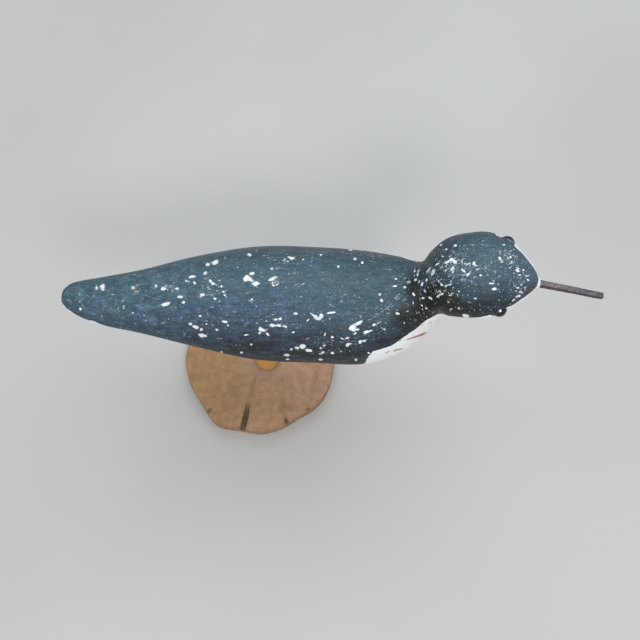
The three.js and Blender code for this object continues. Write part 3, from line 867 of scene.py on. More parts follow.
SCUFFS = (
    Mark(138.4, 284.6, 6.4, 2.2, 18), Mark(137, 292, 5, 4.2, -40), Mark(134.8, 274.6, 4, 2.4, 28),
    Mark(79.6, 294.6, 3.2, 4.4), Mark(93.8, 296, 4, 2.4, 38), Mark(67.8, 299.8, 3, 2.6),
    Mark(123.2, 300.6, 5, 2.4, 34), Mark(93.6, 313.8, 2.8, 2.6), Mark(101.8, 316, 2.6, 3.4),
    Mark(118.4, 309, 2.2, 6.4, 14), Mark(144, 315.6, 3, 2.8), Mark(135.6, 324, 3.4, 2.4),
    Mark(158.5, 275.7, 2.6, 3), Mark(172.8, 289.8, 1.8, 9, 4), Mark(166, 285.6, 5, 3, 20),
    Mark(181, 317.6, 3.4, 2.4), Mark(173, 319.2, 3, 2.4), Mark(184.2, 334.4, 3.2, 3.2),
    Mark(163, 323, 6, 2.4, -4), Mark(202.6, 286.2, 3, 2.4), Mark(206.6, 278.2, 8, 1.6, 10),
    Mark(212, 295.2, 6, 3), Mark(225.2, 257.8, 3.2, 2.6), Mark(256.6, 250.4, 3, 2.4),
    Mark(234.4, 311.8, 5, 2.4, -8), Mark(219.4, 338.6, 8, 1.6), Mark(189.6, 336.6, 3, 2),
    Mark(206, 320.9, 6, 1.6, -6), Mark(246.6, 292.8, 9, 1.6, 8), Mark(277.6, 267.8, 7, 3.4, 4),
    Mark(262, 276.2, 5, 1.4), Mark(294.6, 273, 4, 2, 30), Mark(286, 287.4, 4, 2, 60),
    Mark(275.2, 303.2, 2.8, 2.4), Mark(266, 308, 2.8, 2), Mark(245, 324, 6, 1.6, -8),
    Mark(322.8, 321.2, 4, 2.4, 30), Mark(307.8, 338.4, 6, 2.4, 20), Mark(331.6, 305.4, 9, 2, -30),
    Mark(376.2, 308.4, 7, 1.2, 56), Mark(380.6, 312.4, 22, 1.2, 34), Mark(386, 308.4, 14, 1.1, 38),
    Mark(373.2, 317.8, 12, 1.2, 30), Mark(380.2, 319.6, 14, 1.1, 22), Mark(392.6, 306.2, 7, 1.3, 44),
    Mark(396.8, 297.4, 6, 5.4), Mark(390.4, 269.2, 5, 2, -14), Mark(372.2, 261.4, 8, 1.4, -6),
    Mark(380.6, 255.8, 5, 1.4), Mark(343, 251.8, 3.6, 1.4), Mark(404, 300, 5, 2, 24),
    Mark(385.6, 322.8, 2.6, 2.4), Mark(415.4, 320.4, 4, 2.4), Mark(345, 294.6, 3, 2.4),
    Mark(500.2, 251.6, 3, 5, -30), Mark(512.2, 262.4, 4, 3),
    Mark(474.6, 284, 12, 1, -8), Mark(473, 287.8, 10, 0.9, -4), Mark(484.4, 285.2, 2, 5, 20),
    Mark(466, 256, 6, 1.2, 4), Mark(463.6, 279.8, 6, 4, 20), Mark(449, 274.6, 5, 3, 50),
    Mark(488, 245.6, 2.6, 2), Mark(480.4, 271.4, 3, 2.2), Mark(470.2, 244.8, 4, 1.2, 20),
    Mark(272, 278.8, 9, 4.4, 6), Mark(275.6, 283.6, 9, 4.6, 20), Mark(251, 300.2, 5.4, 4, -10),
    Mark(360.8, 316.4, 3, 4, 20), Mark(352.3, 319.4, 2.6, 2.4),
)
WORN = (
    Mark(428, 276, 30, 34, 40), Mark(454, 266, 40, 34, -14), Mark(474, 270, 30, 22, 10),
    Mark(521, 284, 16, 34, -16), Mark(508, 258, 26, 26, -30), Mark(402, 286, 18, 34, 10),
    Mark(386, 312, 36, 22, 35), Mark(440, 292, 26, 12, 20), Mark(212, 286, 38, 48), Mark(286, 258, 60, 14),
    Mark(330, 344, 70, 26), Mark(168, 288, 30, 20), Mark(206, 318, 50, 22), Mark(370, 254, 60, 10, -6),
    Mark(272, 322, 60, 26), Mark(366, 334, 44, 22, 20),
)
RUBS = (
    Mark(453, 275, 11, 7, 10), Mark(462, 272.6, 9, 6, -20), Mark(446.4, 268.6, 8, 6, 30),
    Mark(507, 255, 9, 12, -24), Mark(136.6, 289, 9, 8), Mark(275, 281.6, 12, 9),
    Mark(251, 300, 5, 4), Mark(457, 266, 24, 16, -14),
)
# Patches of painted shade on the near lower side of the neck, under the head.
GRIME = (
    Mark(443, 305, 46, 22, -6), Mark(424, 312, 24, 14, 24), Mark(461, 311, 40, 14, -4),
    Mark(434, 290, 22, 16, 60), Mark(402, 316, 26, 22, 30), Mark(436, 308, 32, 18, -4),
    Mark(413, 288, 18, 30, 4), Mark(426, 318, 20, 12, 20), Mark(438, 306, 30, 12, -10),
)
GOUGES = (
    Mark(409.5, 339.6, 9, 1.2, 17), Mark(415, 337.6, 13, 1.7, 19), Mark(422.4, 334.8, 11, 2.4, 22),
    Mark(387.4, 352.8, 7, 1.4, 13), Mark(396.8, 350.6, 8, 1.7, 16), Mark(401.6, 349.6, 4, 1.3, 10),
    Mark(399.4, 341.6, 5.4, 1.2, 8),
)
DINGS = (
    Mark(430.4, 323, 7, 2.2, 30), Mark(394, 342.8, 5, 1.4, 10), Mark(422.6, 325.6, 4, 1.6, 20),
)
MARKS = {
    Kind.FLAKE: TAIL_FLAKES + BACK_FLAKES + SHOULDER_FLAKES + HEAD_FLAKES + EDGE_FLAKES,
    Kind.SCUFF: SCUFFS,
    Kind.WORN: WORN,
    Kind.RUB: RUBS,
    Kind.GRIME: GRIME,
    Kind.GOUGE: GOUGES,
    Kind.DING: DINGS,
}


class MarkedPicture:
    """The marks, sorted by where they lie in the photograph's frame."""

    CELL = 16.0
    FAR = 6.0

    def __init__(self, marks: dict[Kind, tuple[Mark, ...]]) -> None:
        """Sort the marks into square cells of the frame."""
        self.cells: dict[tuple[Kind, int, int], list[Mark]] = {}
        for kind, group in marks.items():
            for mark in group:
                reach = max(mark.length, mark.width) * 1.3
                for column in self.cells_near(mark.across, reach):
                    for row in self.cells_near(mark.down, reach):
                        self.cells.setdefault((kind, column, row), []).append(mark)

    def cells_near(self, middle: float, reach: float) -> range:
        """Return the numbers of the cells that a reach to both sides of a middle touches."""
        return range(int((middle - reach) // self.CELL), int((middle + reach) // self.CELL) + 1)

    def measure(self, kind: Kind, pixel: tuple[float, float]) -> float:
        """Return one measure for all marks of a kind, in which neighbours run together.

        Args:
            kind: The kind of mark.
            pixel: The place in the photograph's frame.

        Returns:
            Less than 1 inside a mark, and FAR where none is near.
        """
        cell = (kind, int(pixel[0] // self.CELL), int(pixel[1] // self.CELL))
        near = [max(mark.measure(*pixel), 0.05) for mark in self.cells.get(cell, ())]
        closeness = sum(measure**-2 for measure in near)
        return min(self.FAR, closeness**-0.5) if near else self.FAR


# Making pieces


def hand_over(
    name: str, node: str, shape: bmesh.types.BMesh, finish: bpy.types.Material
) -> bpy.types.Object:
    """Turn a shape in millimetres into a finished piece that stands for its node.

    Args:
        name: The piece's name.
        node: The node of the frame that it replaces.
        shape: The shape, which is used up.
        finish: Its material.

    Returns:
        The piece.
    """
    bmesh.ops.scale(shape, vec=(MM, MM, MM), verts=shape.verts)
    bmesh.ops.recalc_face_normals(shape, faces=shape.faces)
    for face in shape.faces:
        face.smooth = True
    mesh = bpy.data.meshes.new(name)
    shape.to_mesh(mesh)
    shape.free()
    mesh.materials.append(finish)
    piece = bpy.data.objects.new(name, mesh)
    bpy.context.scene.collection.objects.link(piece)
    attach(piece, BODY)
    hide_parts(node)
    corners = [max(v.co[axis] for v in mesh.vertices) / MM for axis in range(3)]
    log.info("%s: %d faces, up to %.1f %.1f %.1f mm", name, len(mesh.polygons), *corners)
    return piece


# The carving


@dataclass(frozen=True)
class Rib:
    """A rib of the carving, from the line of the back to the line of the belly.

    Both ends are (x, z). Half is its half width, and sway is how far its middle
    was carved off the bird's centre plane.
    """

    back: tuple[float, float]
    belly: tuple[float, float]
    half: float
    sway: float

    @property
    def numbers(self) -> tuple[float, ...]:
        """Return all six numbers, for blending."""
        return (*self.back, *self.belly, self.half, self.sway)

    @property
    def middle(self) -> Vector:
        """Return the rib's middle as (x, z)."""
        return (Vector(self.back) + Vector(self.belly)) / 2

    @property
    def rise(self) -> Vector:
        """Return the way from the middle to the back as (x, z)."""
        return (Vector(self.back) - Vector(self.belly)) / 2


RIBS = (
    Rib((-92.4, 101.6), (-92.4, 101), 0.4, 1.3),
    Rib((-91.2, 103.6), (-91.2, 99.2), 4.5, 1),
    Rib((-86, 105.4), (-86, 98), 8.3, 0.6),
    Rib((-73, 109), (-73, 94.6), 12.2, -0.7),
    Rib((-52, 114.2), (-52, 88.8), 16.3, -0.4),
    Rib((-26, 120.2), (-26, 82), 22.8, 0.4),
    Rib((4, 125.2), (4, 75.8), 28.4, 0.4),
    Rib((34, 127.8), (32, 72.2), 28.7, 0.1),
    Rib((55, 128.4), (60, 73.8), 27.9, -1),
    Rib((70, 129.6), (81, 81.6), 22.7, -0.4),
    Rib((79.6, 134.6), (93.5, 96), 15.1, 0.5),
    Rib((83.4, 143.2), (96.5, 114.5), 15.4, 1.8),
    Rib((88, 152.8), (101, 124), 18.3, 0.6),
    Rib((97, 160.6), (107, 127.4), 19.5, -0.2),
    Rib((109, 163), (112, 128.8), 19.5, -0.2),
    Rib((121, 158.8), (119.5, 131.4), 15.2, -0.2),
    Rib((129.4, 151.4), (128.6, 135.6), 7.3, 0.2),
    Rib((132.5, 146.8), (132.2, 139.4), 2.5, -0.5),
    Rib((133.4, 145.2), (133.4, 140.8), 1.9, -0.6),
)


@dataclass(frozen=True)
class HeadTurn:
    """The head's turn to the bird's right, about an upright line."""

    degrees: float = -4.3
    pivot_x: float = 90.0
    first_rib: float = 9.0
    last_rib: float = 12.0

    def matrix(self, rib: float = 18.0) -> Matrix:
        """Return the turn of the part of the carving at a rib, counted from the tail."""
        share = smooth_step(rib, self.first_rib, self.last_rib)
        pivot = Matrix.Translation((self.pivot_x, 0, 0))
        turn = Matrix.Rotation(math.radians(self.degrees) * share, 4, "Z")
        return pivot @ turn @ pivot.inverted()


HEAD = HeadTurn()


class Side(Enum):
    """A side of the bird. The value is the sign of Y there."""

    LEFT = 1
    RIGHT = -1


# The upper edge of the white paint: degrees above the widest line, at ribs
# counted from the tail.
PAINT_EDGE = {
    Side.RIGHT: (
        (0, 45), (0.8, 34), (1, 24), (1.3, 18), (1.7, 19), (2, 15), (2.3, 6), (2.6, 5), (2.9, 7), (3.05, 5),
        (3.2, -2), (3.5, -14), (4, -24), (5, -28), (6, -30), (7, -28), (7.85, -24), (8, -9), (8.05, 4),
        (8.12, 12), (8.22, 18), (8.48, 18), (8.72, 17), (9.1, 20), (9.35, 19), (9.6, 15), (9.85, 13),
        (10.08, 11), (10.3, 6), (10.65, -3), (11, -9), (11.2, -11), (12.2, -8), (13, -10), (13.4, -5),
        (13.75, 0), (14.1, 4), (14.3, 0), (14.45, -6), (14.6, 2), (14.7, 17), (15, 16), (15.2, 18),
        (15.4, 20), (15.9, 20), (16.3, 24), (16.7, 28), (16.82, 90),
    ),
    Side.LEFT: (
        (0, 20), (2, 5), (3, -5), (3.4, -14), (4, -24), (5, -28), (6, -30), (7, -28), (7.85, -24),
        (8.15, 10), (8.5, 20), (9.1, 25), (9.25, 30), (9.55, 32), (9.7, 30), (9.85, 25), (10.8, 14),
        (11.5, 8), (12.5, 4), (13.4, 2), (13.9, 10), (14.05, 22), (14.25, 26), (14.4, 29), (14.6, 26),
        (14.8, 34),
        (14.92, 48), (15.05, 51), (15.2, 52), (15.4, 56), (15.9, 64), (16.5, 74), (16.82, 90),
    ),
}


@dataclass(frozen=True)
class Bead:
    """A bead eye, placed before the head's turn, and where it is bare of smeared paint."""

    side: Side
    centre: tuple[float, float, float]
    bare_towards: tuple[float, float, float]
    diameter: float = 6.5

    @property
    def place(self) -> Vector:
        """Return the bead's centre on the turned head."""
        return HEAD.matrix() @ Vector(self.centre)


EYES = (
    Bead(Side.LEFT, (116.9, 13.1, 152.9), (0.28, 0.93, 0.18)),
    Bead(Side.RIGHT, (115.4, -16.4, 146.9), (0.40, -0.62, 0.68)),
)


@dataclass(frozen=True)
class Nail:
    """The bill: a cut nail, parallel in width, tapered in depth and cut off square."""

    root: tuple[float, float, float] = (134.2, -0.8, 143.0)
    droop: float = 14.0
    reach: float = 30.5
    tail: float = 9.0
    width: float = 2.8
    root_depth: float = 3.3
    tip_depth: float = 2.4
    worn_edge: float = 0.42
    pitting: float = 0.10
    steps: int = 84

    @property
    def place(self) -> Matrix:
        """Return the nail's place on the turned head. Its own +X runs to the tip."""
        droop = Matrix.Rotation(math.radians(self.droop), 4, "Y")
        return HEAD.matrix() @ Matrix.Translation(self.root) @ droop

    def build(self) -> bpy.types.Object:
        """Make the nail and return it."""
        shape = bmesh.new()
        bmesh.ops.create_cube(shape, size=1.0)
        length = self.reach + self.tail
        bmesh.ops.scale(shape, vec=(length, self.width, 1.0), verts=shape.verts)
        bmesh.ops.translate(shape, vec=(length / 2 - self.tail, 0, 0), verts=shape.verts)
        for vert in shape.verts:
            depth = self.root_depth if vert.co.x < 0 else self.tip_depth
            vert.co.z *= depth
        bmesh.ops.bevel(
            shape, geom=shape.edges, offset=self.worn_edge, segments=3, profile=0.5,
            affect="EDGES", material=-1,
        )
        across = [e for e in shape.edges if 1.0 < e.calc_length() < length / 2]
        bmesh.ops.subdivide_edges(shape, edges=across, cuts=4, use_grid_fill=True)
        lengthwise = [e for e in shape.edges if e.calc_length() > length / 2]
        bmesh.ops.subdivide_edges(shape, edges=lengthwise, cuts=self.steps, use_grid_fill=True)
        self.wear(shape)
        bmesh.ops.transform(shape, matrix=self.place, verts=shape.verts)
        return hand_over("cut_nail_bill", "iron_bill", shape, RustyIron().material())

    def wear(self, shape: bmesh.types.BMesh) -> None:
        """Pit the iron, and note how near the tip, an edge and a flank each point is."""
        edge = shape.verts.layers.float.new("edge")
        tipward = shape.verts.layers.float.new("tipward")
        flank = shape.verts.layers.float.new("flank")
        shape.normal_update()
        moves = []
        for vert in shape.verts:
            along = vert.co.x / self.reach
            half_depth = (self.root_depth + (self.tip_depth - self.root_depth) * along) / 2
            corner = abs(vert.co.y) / (self.width / 2) * abs(vert.co.z) / half_depth
            vert[edge] = smooth_step(corner, 0.35, 0.9)
            vert[tipward] = along
            vert[flank] = smooth_step(abs(vert.co.y) / (self.width / 2), 0.80, 0.98)
            pits = ripple(vert.co, (1.5, 0.8, 0.8), 3.1) + 0.6 * ripple(vert.co, (0.6, 0.5, 0.5), 8.4)
            flats = 0.8 * ripple(vert.co, (5.0, 3.0, 3.0), 5.2)
            moves.append((vert, vert.normal * self.pitting * (pits + flats - 0.9)))
        for vert, move in moves:
            vert.co += move


@dataclass(frozen=True)
class CarvedBird:
    """Body, neck, head and tail, carved from one block along the ribs."""

    around: int = 218
    along: int = 456
    crowding: float = 0.46
    crowded_at: float = -20.0
    knife_depth: float = 0.16
    flake_depth: float = 0.10
    gouge_depth: float = 0.55
    rim_height: float = 0.32
    rim_width: float = 0.55
    collar_height: float = 0.5
    # Painted shade on the low sides: its strength by degrees above the widest line.
    painted_shade_line: tuple[tuple[float, float], ...] = (
        (-10, 0.94), (0, 0.91), (18, 0.78), (32, 0.62), (43, 0.45), (53, 0.31), (60, 0.13), (70, 0),
    )

    def rib(self, number: float) -> Rib:
        """Return the rib at a number from the tail, blended between its neighbours.

        Args:
            number: The rib's number, which needn't be whole.

        Returns:
            The rib.
        """
        last = len(RIBS) - 1
        start = max(0, min(last - 1, int(number)))
        part = number - start
        rows = [RIBS[max(0, min(last, start + step))].numbers for step in (-1, 0, 1, 2)]
        blended = []
        for before, here, there, after in zip(*rows):
            leaving = (there - before) / 2
            arriving = (after - here) / 2
            cube = 2 * here - 2 * there + leaving + arriving
            square = 3 * there - 3 * here - 2 * leaving - arriving
            blended.append(((cube * part + square) * part + leaving) * part + here)
        return Rib(tuple(blended[0:2]), tuple(blended[2:4]), blended[4], blended[5])

    def even_ribs(self) -> tuple[list[float], list[float]]:
        """Return rib numbers that lie evenly over the skin, and how far each is from the tail."""
        samples = 2400
        last = len(RIBS) - 1
        travelled = [0.0]
        before = self.rib(0)
        for index in range(1, samples + 1):
            here = self.rib(last * index / samples)
            along = (here.middle - before.middle).length
            swell = math.hypot(here.half - before.half, here.rise.length - before.rise.length)
            travelled.append(travelled[-1] + math.hypot(along, swell))
            before = here
        numbers, places = [], []
        index = 0
        for ring in range(self.along + 1):
            goal = travelled[-1] * ring / self.along
            while index < samples - 1 and travelled[index + 1] < goal:
                index += 1
            part = (goal - travelled[index]) / (travelled[index + 1] - travelled[index])
            numbers.append(last * (index + part) / samples)
            places.append(goal)
        return numbers, places

    def skin(self, rib: Rib, number: float, angle: float, open_rib: float = 1.0) -> Vector:
        """Return a place on the skin.

        Args:
            rib: The rib there.
            number: Its number.
            angle: The angle around it in radians, from the left side over the back.
            open_rib: 0 at the tail's and the nose's end points, and 1 elsewhere.

        Returns:
            The place.
        """
        across = rib.sway + open_rib * rib.half * math.cos(angle)
        up = open_rib * math.sin(angle)
        middle, rise = rib.middle, rib.rise
        spot = Vector((middle.x + rise.x * up, across, middle.y + rise.y * up))
        return HEAD.matrix(number) @ spot

    def build(self) -> bpy.types.Object:
        """Carve the bird, mark it, paint it and return it."""
        shape = bmesh.new()
        bmesh.ops.create_uvsphere(shape, u_segments=self.around, v_segments=self.along, radius=1.0)
        numbers = self.draw_out(shape)
        shape.normal_update()
        self.note_paint_edge(shape, numbers)
        self.note_marks(shape)
        self.carve(shape, numbers)
        finish = SlatePaint().material()
        return hand_over("painted_shorebird", "carved_bird", shape, finish)

    def draw_out(self, shape: bmesh.types.BMesh) -> list[float]:
        """Draw a sphere out along the ribs, its upper pole at the nose.

        Args:
            shape: The sphere.

        Returns:
            Each point's rib number.
        """
        along = shape.verts.layers.float.new("along")
        around = shape.verts.layers.float.new("around")
        low_side_shade = shape.verts.layers.float.new("low_side_shade")
        nape = shape.verts.layers.float.new("nape")
        head = shape.verts.layers.float.new("head")
        numbers, places = self.even_ribs()
        ribs = [self.rib(number) for number in numbers]
        of_points = []
        for vert in shape.verts:
            ring = round((1.0 - math.acos(max(-1.0, min(1.0, vert.co.z))) / math.pi) * self.along)
            pole = ring in (0, self.along)
            from_top = 0.0 if pole else math.atan2(vert.co.x, vert.co.y)
            from_top -= self.crowding * math.sin(from_top - math.radians(self.crowded_at))
            angle = math.pi / 2 - from_top
            rib, number = ribs[ring], numbers[ring]
            vert.co = self.skin(rib, number, angle, 0.0 if pole else 1.0)
            girth = (rib.half + rib.rise.length) / 2
            vert[along] = places[ring]
            vert[around] = from_top * girth
            # Painted shade for the low sides: stronger further down, full on the near side, 0.6 on the far
            # side, fainter at the tail.
            above = math.degrees(math.asin(math.sin(angle)))
            shade = 1.0 if from_top < 0 else 0.6
            tail_shade = 0.45 + 0.55 * smooth_step(number, 3.0, 5.5)
            vert[low_side_shade] = shade * tail_shade * read_line(self.painted_shade_line, above)
            vert[head] = smooth_step(number, 9.5, 11.5)
            bell = smooth_step(number, 9.0, 10.1) * smooth_step(13.2 - number, 0.0, 1.4)
            vert[nape] = bell * smooth_step(math.sin(angle), -0.3, 0.45)
            of_points.append(number)
        return of_points

    def note_paint_edge(self, shape: bmesh.types.BMesh, numbers: list[float]) -> None:
        """Keep each point's distance into the white paint, which is negative in the dark."""
        trees = {}
        steps = 900
        last = len(RIBS) - 1
        for side in Side:
            tree = kdtree.KDTree(steps + 1)
            for step in range(steps + 1):
                number = last * step / steps
                above = math.radians(read_line(PAINT_EDGE[side], number))
                angle = above if side is Side.LEFT else math.pi - above
                tree.insert(self.skin(self.rib(number), number, angle), step)
            tree.balance()
            trees[side] = tree
        white = shape.verts.layers.float.new("white_side")
        for vert, number in zip(shape.verts, numbers):
            rib = self.rib(number)
            flat = HEAD.matrix(number).inverted() @ vert.co
            side = Side.LEFT if flat.y >= rib.sway else Side.RIGHT
            rise = rib.rise
            up = (Vector((flat.x, flat.z)) - rib.middle).dot(rise) / max(rise.length_squared, 0.01)
            above = math.degrees(math.asin(max(-1.0, min(1.0, up))))
            distance = trees[side].find(vert.co)[2]
            vert[white] = distance if above < read_line(PAINT_EDGE[side], number) else -distance

    def note_marks(self, shape: bmesh.types.BMesh) -> None:
        """Keep at each point how near it is to the marks of each kind."""
        layers = {kind: shape.verts.layers.float.new(kind.value) for kind in Kind}
        picture = MarkedPicture(MARKS)
        turn, place = VIEW.turn.inverted(), VIEW.place
        for vert in shape.verts:
            seen = vert.normal.dot(place - vert.co) > 0
            pixel = VIEW.pixel(vert.co, turn, place) if seen else (-100.0, -100.0)
            for kind, layer in layers.items():
                vert[layer] = picture.measure(kind, pixel)

    def carve(self, shape: bmesh.types.BMesh, numbers: list[float]) -> None:
        """Press the knife work, the marks, the sockets' rims and the bill's collar into the skin."""
        flake = shape.verts.layers.float[Kind.FLAKE.value]
        gouge = shape.verts.layers.float[Kind.GOUGE.value]
        ding = shape.verts.layers.float[Kind.DING.value]
        bill = Nail().place.inverted()
        eyes = [(bead.place, bead.diameter / 2) for bead in EYES]
        moves = []
        for vert, number in zip(shape.verts, numbers):
            spot = vert.co
            inward = -self.knife_depth * (0.5 + 0.5 * self.knife_work(spot, number))
            inward -= self.flake_depth * (1.0 - smooth_step(vert[flake], 0.5, 1.4))
            inward -= self.gouge_depth * (1.0 - smooth_step(vert[gouge], 0.1, 1.3))
            inward -= 0.5 * self.gouge_depth * (1.0 - smooth_step(vert[ding], 0.1, 1.3))
            for centre, radius in eyes:
                inward += self.rim_height * hill((spot - centre).length - radius - 0.25, self.rim_width)
            at_bill = bill @ spot
            from_bill = math.hypot(at_bill.y, at_bill.z)
            if at_bill.x > -3.0:
                inward += self.collar_height * hill(from_bill - 1.9, 0.8)
            moves.append((vert, vert.normal * inward))
        for vert, move in moves:
            vert.co += move
        for centre, radius in eyes:
            self.sink_socket(shape, centre, radius + 0.12)

    def knife_work(self, spot: Vector, number: float) -> float:
        """Return the unevenness left by the knife, between about -1 and 1."""
        broad = ripple(spot, (30.0, 13.0, 13.0), 4.0)
        short = ripple(spot, (11.0, 6.0, 6.0), 9.0)
        neck = hill(number - 10.6, 1.3)
        nicks = ripple(spot, (3.0, 2.2, 2.6), 13.0)
        return 0.6 * broad + 0.4 * short + 0.7 * neck * nicks

    def sink_socket(self, shape: bmesh.types.BMesh, centre: Vector, radius: float) -> None:
        """Push the skin inside a bead's place down to the bead's inner half."""
        inside = [v for v in shape.verts if (v.co - centre).length < radius]
        outward = sum((v.normal for v in inside), Vector()).normalized()
        for vert in inside:
            offset = vert.co - centre
            sideways = offset - outward * offset.dot(outward)
            depth = math.sqrt(max(0.0, radius**2 - sideways.length_squared))
            vert.co = centre + sideways - outward * depth


# The smaller pieces


@dataclass(frozen=True)
class BeadEyes:
    """Two black beads, each slightly flattened towards the face."""

    flattening: float = 0.05
    unevenness: float = 0.04

    def build(self) -> list[bpy.types.Object]:
        """Make both beads and return them."""
        finish = BlackBead().material()
        return [self.bead(bead, finish) for bead in EYES]

    def bead(self, bead: Bead, finish: bpy.types.Material) -> bpy.types.Object:
        """Make one bead.

        Args:
            bead: Its side, place and size.
            finish: The glass.

        Returns:
            The piece.
        """
        shape = bmesh.new()
        radius = bead.diameter / 2
        bmesh.ops.create_icosphere(shape, subdivisions=5, radius=radius)
        sunk = shape.verts.layers.float.new("sunk")
        outward = Vector(bead.bare_towards).normalized()
        for vert in shape.verts:
            facing = vert.co.dot(outward) / radius
            vert[sunk] = 0.5 - 0.5 * facing
            unevenness = self.unevenness * ripple(vert.co, (3.0, 3.0, 3.0), 2.0 + bead.side.value)
            vert.co *= 1.0 - abs(unevenness) / radius
            vert.co -= outward * radius * self.flattening * max(0.0, facing)
            vert.co += bead.place
        side = bead.side.name.lower()
        return hand_over(f"bead_eye_{side}", f"eye_{side}", shape, finish)


@dataclass(frozen=True)
class DowelLeg:
    """The leg: one painted dowel, let into the slice below and the belly above."""

    x: float = 4.4
    y: float = 0.7
    radius: float = 7.15
    bottom: float = 3.8
    top: float = 96.0
    sides: int = 96
    steps: int = 120
    scraping: float = 0.14
    slice_top: float = 8.4
    fillet: float = 0.28

    def build(self) -> bpy.types.Object:
        """Make the leg and return it."""
        shape = bmesh.new()
        bmesh.ops.create_cone(
            shape, cap_ends=True, cap_tris=False, segments=self.sides, radius1=self.radius,
            radius2=self.radius, depth=self.top - self.bottom,
        )
        caps = [f for f in shape.faces if len(f.verts) > 4]
        bmesh.ops.inset_region(shape, faces=caps, thickness=0.6, use_even_offset=True)
        upright = [e for e in shape.edges if e.calc_length() > 50]
        bmesh.ops.subdivide_edges(shape, edges=upright, cuts=self.steps)
        rise = (self.bottom + self.top) / 2
        for vert in shape.verts:
            away = Vector((vert.co.x, vert.co.y, 0.0))
            height = vert.co.z + rise
            spot = Vector((vert.co.x, vert.co.y, height))
            scraped = self.scraping * (0.5 + 0.5 * ripple(spot, (5.0, 5.0, 34.0), 6.0))
            scraped += 0.04 * abs(ripple(spot, (1.2, 1.2, 8.0), 7.0))
            swell = self.fillet * hill(height - self.slice_top - 0.2, 0.7)
            vert.co += away.normalized() * (swell - scraped)
        bmesh.ops.translate(shape, vec=(self.x, self.y, rise), verts=shape.verts)
        return hand_over("dowel_leg", "leg_dowel", shape, OrangePaint().material())


@dataclass(frozen=True)
class Wave:
    """One wave of the slice's outline."""

    count: int
    height: float
    phase: float


@dataclass(frozen=True)
class Swell:
    """A swell or hollow of the slice's outline in one direction, in degrees."""

    angle: float
    spread: float
    height: float

    def at(self, angle: float) -> float:
        """Return how far it moves the rim in a direction, in degrees."""
        apart = (angle - self.angle + 180.0) % 360.0 - 180.0
        return self.height * hill(apart, self.spread)


@dataclass(frozen=True)
class Crack:
    """A drying crack that opens outwards. The angle is about the slice's centre, from +X to +Y."""

    angle: float
    start: float
    width: float
    depth: float
    bend: float
    opens: float = 0.0

    def depth_at(self, spot: Vector, rim: float) -> float:
        """Return how deep the crack is at a place.

        Args:
            spot: The place on the slice.
            rim: The slice's radius.

        Returns:
            The depth in millimetres, which is 0 outside the crack.
        """
        turned = Matrix.Rotation(-math.radians(self.angle), 3, "Z") @ spot
        run = (turned.x - self.start) / (rim - self.start)
        if run <= 0 or abs(turned.y) > self.width:
            return 0.0
        line = -self.bend * math.sin(math.pi * run) + 0.35 * ripple(spot, (5.0, 5.0, 5.0), self.angle)
        ragged = 1.0 + 0.25 * ripple(spot, (1.4, 1.4, 1.4), self.angle)
        half = self.width / 2 * (0.45 + 0.55 * run) * smooth_step(run, -0.02, 0.12) * ragged
        aside = abs(turned.y - line) / max(half, 0.01)
        if aside >= 1:
            return 0.0
        deepening = 0.12 + 0.88 * smooth_step(run, self.opens, self.opens + 0.3)
        return self.depth * deepening * (1.0 - aside**2.2)


